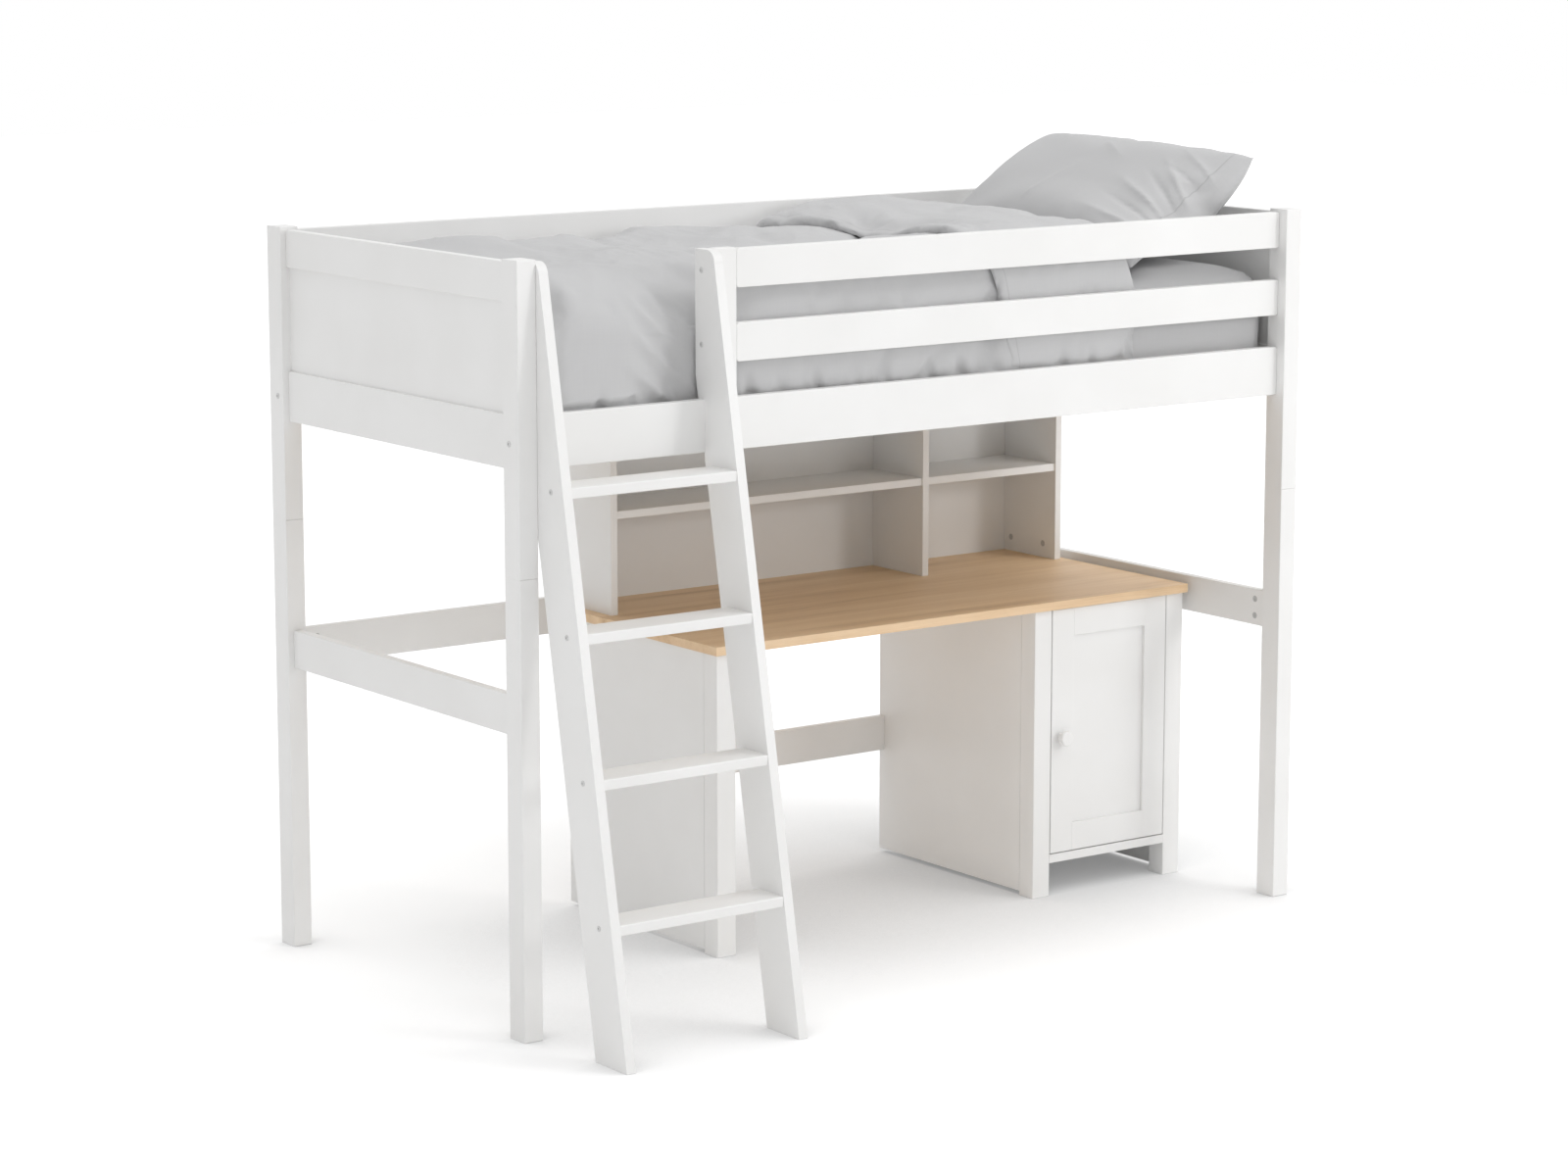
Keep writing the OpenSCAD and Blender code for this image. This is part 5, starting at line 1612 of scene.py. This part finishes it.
    def build(self, material: bpy.types.Material) -> bpy.types.Object:
        """Makes the piece.

        Args:
            material: its finish.

        Returns:
            The duvet, at the origin.
        """
        outer, inner, turned = self.shape()
        t, _ = self.columns()
        threads = np.broadcast_arrays(arc_length(outer[:, 40])[:, None], arc_length(outer[60])[None, :])
        cloth = np.stack(threads, -1)
        hold = np.full(outer.shape[:2], self.grip)
        hold[:2], hold[-2:], hold[:, :2], hold[:, -2:] = 1, 1, 1, 1
        hold[(turned > 0.02) & (turned < 0.12)] = 1
        move, _ = self.run.blow(outer, inner, hold, 1.0)
        move = 0.5 * (move + blur(move, 1)) - (1 - self.keep) * blur(move, 13)
        cap = self.cap_top + (self.cap_side - self.cap_top) * ease((t - 0.66) / 0.06)[None, :, None]
        outer = self.room(outer + limit(move, cap) * (hold < 1)[..., None], turned)
        outer, cloth = refine(outer), refine(cloth)
        t, turned = (refine(v[:, None, None] + np.zeros((1, 3, 1)))[:, 0, 0] for v in (t, turned))
        outer = self.room(self.wrinkle(outer, t, turned), turned)
        along = arc_length(outer[:, 60])
        hem = np.interp(0.5, turned[:-8], along[:-8])
        seam = np.broadcast_to((along - hem - self.hem_stitch)[:, None], outer.shape[:2]).copy()
        shift = np.array(self.origin)
        return skin_piece("duvet_cover", outer + shift, inner + shift, cloth, seam, material)


@dataclass(frozen=True)
class Pinch:
    """One crease of the pillow case.

    Attributes:
        u: where it starts across the bed, -1 to 1.
        v: where it starts up the slope, -1 to 1.
        turn: its direction in degrees from the way across the bed.
        reach: its length in metres.
        width: its half width in metres.
        depth: its height above the smooth form, or below it where negative.
    """

    u: float
    v: float
    turn: float
    reach: float
    width: float
    depth: float

    def height(self, across: np.ndarray, up: np.ndarray) -> np.ndarray:
        """Height of the crease off the smooth form.

        Args:
            across: metres across the bed from where it starts.
            up: metres up the slope from there.

        Returns:
            The height at each point.
        """
        c, s = math.cos(math.radians(self.turn)), math.sin(math.radians(self.turn))
        along, aside = (across * c + up * s) / self.reach, up * c - across * s
        # it widens as it runs out, starts short and ends in a long slope
        aside = aside / (self.width * (0.55 + 0.75 * np.clip(along, 0.0, 1.0)))
        run = ease(along / 0.18 + 0.4) * ease((1.0 - along) / 0.75)
        # a crest that is round over 0.35 of its width and falls off on either side
        return self.depth * run * np.exp(0.35 - np.sqrt(aside * aside * 1.6 + 0.35 ** 2))


@dataclass
class Pillow:
    """A filled pillow in its case, leaning against the head end.

    Attributes:
        origin: the outer front corner of the foot end, in the frame.
        form: place and crown of the mattress.
        foot_x: lower edge of the pillow, from the origin.
        mid_y: its middle across the bed.
        lift: height of its lower edge above the mattress crown.
        width, length, thick: its size across the bed, up the slope and off it.
        fullness: power of its round across the bed, and how much that falls to the back.
        above: share of its thickness that lies above the middle.
        bend: how far its middle sags.
        slope: its lean in degrees.
        draw_in: share by which its sides draw in as it is filled.
        corner: share of the filling that its lower front corner lacks below.
        hem: distance of the stitched line from its open end.
        flat: size of the empty case that the simulation blows up.
        puff: half thickness of that case at the start, and jitter its roughness.
        run: the simulation.
        cap: longest move that is kept.
        gain: what the kept moves are multiplied by.
        first_gap, gap: height that is kept over the mattress, before and after the moves.
        settle: height over which it comes to rest softly.
        pinches: the drawn creases.
        cols, rows: cells across the bed and up the slope.
    """

    origin: Vector
    form: MattressForm
    foot_x: float = 1.687
    mid_y: float = 0.450
    lift: float = 0.013
    width: float = 0.700
    length: float = 0.430
    thick: float = 0.190
    fullness: tuple[float, float] = (0.38, 0.08)
    above: float = 0.6
    bend: float = 0.040
    slope: float = 32.4
    draw_in: float = 0.04
    corner: float = 0.75
    hem: float = 0.032
    flat: tuple[float, float] = (0.74, 0.47)
    puff: float = 0.030
    jitter: float = 0.0006
    run: ClothRun = ClothRun(0.0, 2.0, 0.4, 15.0)
    cap: float = 0.014
    gain: float = 1.15
    first_gap: float = 0.0008
    gap: float = 0.0009
    settle: float = 0.002
    pinches: tuple[Pinch, ...] = (
        Pinch(-0.95, -0.62, 6.0, 0.26, 0.013, 0.0075), Pinch(-0.93, -0.44, 14.0, 0.22, 0.010, -0.0060),
        Pinch(-0.95, -0.28, 20.0, 0.25, 0.012, 0.0085), Pinch(-0.92, -0.10, 31.0, 0.19, 0.010, -0.0065),
        Pinch(-0.95, 0.05, 36.0, 0.20, 0.011, 0.0070), Pinch(-0.93, 0.30, 12.0, 0.15, 0.009, -0.0045),
        Pinch(-0.95, 0.48, 22.0, 0.16, 0.010, 0.0045), Pinch(0.20, -0.55, 112.0, 0.20, 0.016, 0.0050),
        Pinch(0.02, 0.55, 205.0, 0.15, 0.012, 0.0035),
    )
    cols: int = 96
    rows: int = 64

    def face(self, u: np.ndarray, v: np.ndarray, side: int) -> np.ndarray:
        """Points of one face.

        Args:
            u: -1 to 1 across the bed.
            v: -1 to 1 up the slope.
            side: 1 for the face that shows, -1 for the one below.

        Returns:
            The points, in metres from the outer front corner of the foot end.
        """
        across = u * self.width / 2 * (1 - self.draw_in * (1 - v * v))
        up = (1 + v * (1 - self.draw_in * (1 - u * u))) * self.length / 2
        power = self.fullness[0] - self.fullness[1] * u
        fill = np.maximum(0, 1 - u * u) ** power * np.maximum(0, 1 - v * v) ** 0.5
        bend = self.bend * (1 - v * v) * (0.5 - 0.5 * u) * ease((v + 1) / 0.9)
        if side < 0:
            fill = fill * (1 - self.corner * ease((0.1 - u) / 0.7) * ease((0.2 - v) / 0.7))
        off = side * self.thick * (self.above if side > 0 else 1 - self.above) * fill - bend
        if side > 0:
            off = off + self.pinched(u, v)
        points = self.tilt(np.stack([across, up, off], -1))
        start = (self.foot_x, self.mid_y, self.form.rim + self.form.crown + self.lift)
        return self.rest(points + start, self.first_gap)

    def pinched(self, u: np.ndarray, v: np.ndarray) -> np.ndarray:
        """Height of the drawn creases off the face that shows."""
        heights = [p.height((u - p.u) * self.width / 2, (v - p.v) * self.length / 2) for p in self.pinches]
        return sum(heights) * ease((1 - np.abs(u)) / 0.06) * ease((1 - np.abs(v)) / 0.10)

    def creases(self, u: np.ndarray, v: np.ndarray) -> tuple[np.ndarray, np.ndarray]:
        """Blows up a flat case and keeps what its creases add to the smooth form.

        Args:
            u: place across the bed of each grid point, -1 to 1.
            v: place up the slope.

        Returns:
            Moves across, up and off the slope, for the upper and the lower face.
        """
        puff = self.puff * np.sqrt(np.maximum(0, (1 - u * u) * (1 - v * v)))
        flat = np.stack([u * self.flat[0] / 2, v * self.flat[1] / 2, puff], -1)
        rough = np.random.RandomState(SEED).uniform(-self.jitter, self.jitter, puff[1:-1, 1:-1].shape)
        flat[1:-1, 1:-1, 2] += rough
        above, below = self.run.blow(flat, flat * np.array((1.0, 1.0, -1.0)), np.zeros(u.shape), 0.0)
        middle, half = (above + below) / 2, (above - below) / 2
        inward = np.minimum(from_ends(u.shape[0])[:, None], from_ends(u.shape[1])[None, :])
        middle = blur(middle, 1) - blur(middle, 6)
        half = (blur(half, 1) - blur(half, 6)) * ease(inward / 5.0)[..., None]
        return limit(middle + half, self.cap), limit(middle - half, self.cap)

    def tilt(self, move: np.ndarray) -> np.ndarray:
        """Turns lengths across, up and off the slope into the frame's axes.

        Args:
            move: the lengths, in the last axis.

        Returns:
            The same along X, Y and Z.
        """
        c, s = math.cos(math.radians(self.slope)), math.sin(math.radians(self.slope))
        across, up, off = (move[..., k] for k in range(3))
        return np.stack([up * c - off * s, across, up * s + off * c], -1)

    def rest(self, points: np.ndarray, gap: float, width: float | None = None) -> np.ndarray:
        """Lifts points that would sink into the mattress.

        Args:
            points: points of the pillow.
            gap: what is left between it and the mattress.
            width: height over which they settle softly, or None for a sharp edge.

        Returns:
            The points, lifted.
        """
        floor = self.form.top(points[..., 0] + self.origin.x, points[..., 1] + self.origin.y) + gap
        points = points.copy()
        over = points[..., 2] - floor
        points[..., 2] = np.maximum(points[..., 2], floor) if width is None else floor + softplus(over, width)
        return points

    def build(self, material: bpy.types.Material) -> bpy.types.Object:
        """Makes the piece.

        Args:
            material: its finish.

        Returns:
            The pillow, at the origin.
        """
        u, v = (0.35 * -np.cos(np.linspace(0, math.pi, cells + 1)) + 0.65 * np.linspace(-1, 1, cells + 1)
                for cells in (self.cols, self.rows))
        grid_u, grid_v = np.meshgrid(u, v, indexing="ij")
        above, below = self.creases(grid_u, grid_v)
        outer = refine(self.face(grid_u, grid_v, 1) + self.tilt(above) * self.gain)
        inner = refine(self.face(grid_u, grid_v, -1) + self.tilt(below) * self.gain)
        outer, inner = (self.rest(side, self.gap, self.settle) for side in (outer, inner))
        cloth = refine(np.stack([grid_u * self.width / 2, grid_v * self.length / 2], -1))
        seam = cloth[..., 0] + self.width / 2 - self.hem
        shift = np.array(self.origin)
        return skin_piece("pillow_case", outer + shift, inner + shift, cloth, seam, material)


def main() -> None:
    """Builds the scene in order and reports each piece."""
    logging.basicConfig(level=logging.INFO, format="%(name)s: %(message)s")
    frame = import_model()
    bpy.context.scene.view_settings.view_transform = "Standard"
    Studio().build()
    shared = SharedEffects()
    paint = SatinPaint().build(shared)
    for group in PAINTED:
        group.dress(frame, paint)
    for group, finish in (*GRAINED, *METAL):
        group.dress(frame, finish.build(shared))
    linen = WovenCotton("grey bed linen", (0.60, 0.60, 0.605), (0.55, 0.55, 0.555)).build(shared)
    low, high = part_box("mattress")
    form = MattressForm(low, high)
    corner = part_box("post_front_left")[0]
    origin = Vector((corner.x, corner.y, 0.0))
    for piece, node, fill in (
        (FittedSheet(form).build(linen), "mattress", 1.0),
        (Duvet(origin, form).build(linen), "duvet", 0.5),
        (Pillow(origin, form).build(linen), "pillow", 0.6),
    ):
        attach(piece, "bed")
        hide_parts(node)
        LOG.info("%s: %d faces for %s", piece.name, len(piece.data.polygons), node)


if __name__ == "__main__":
    main()
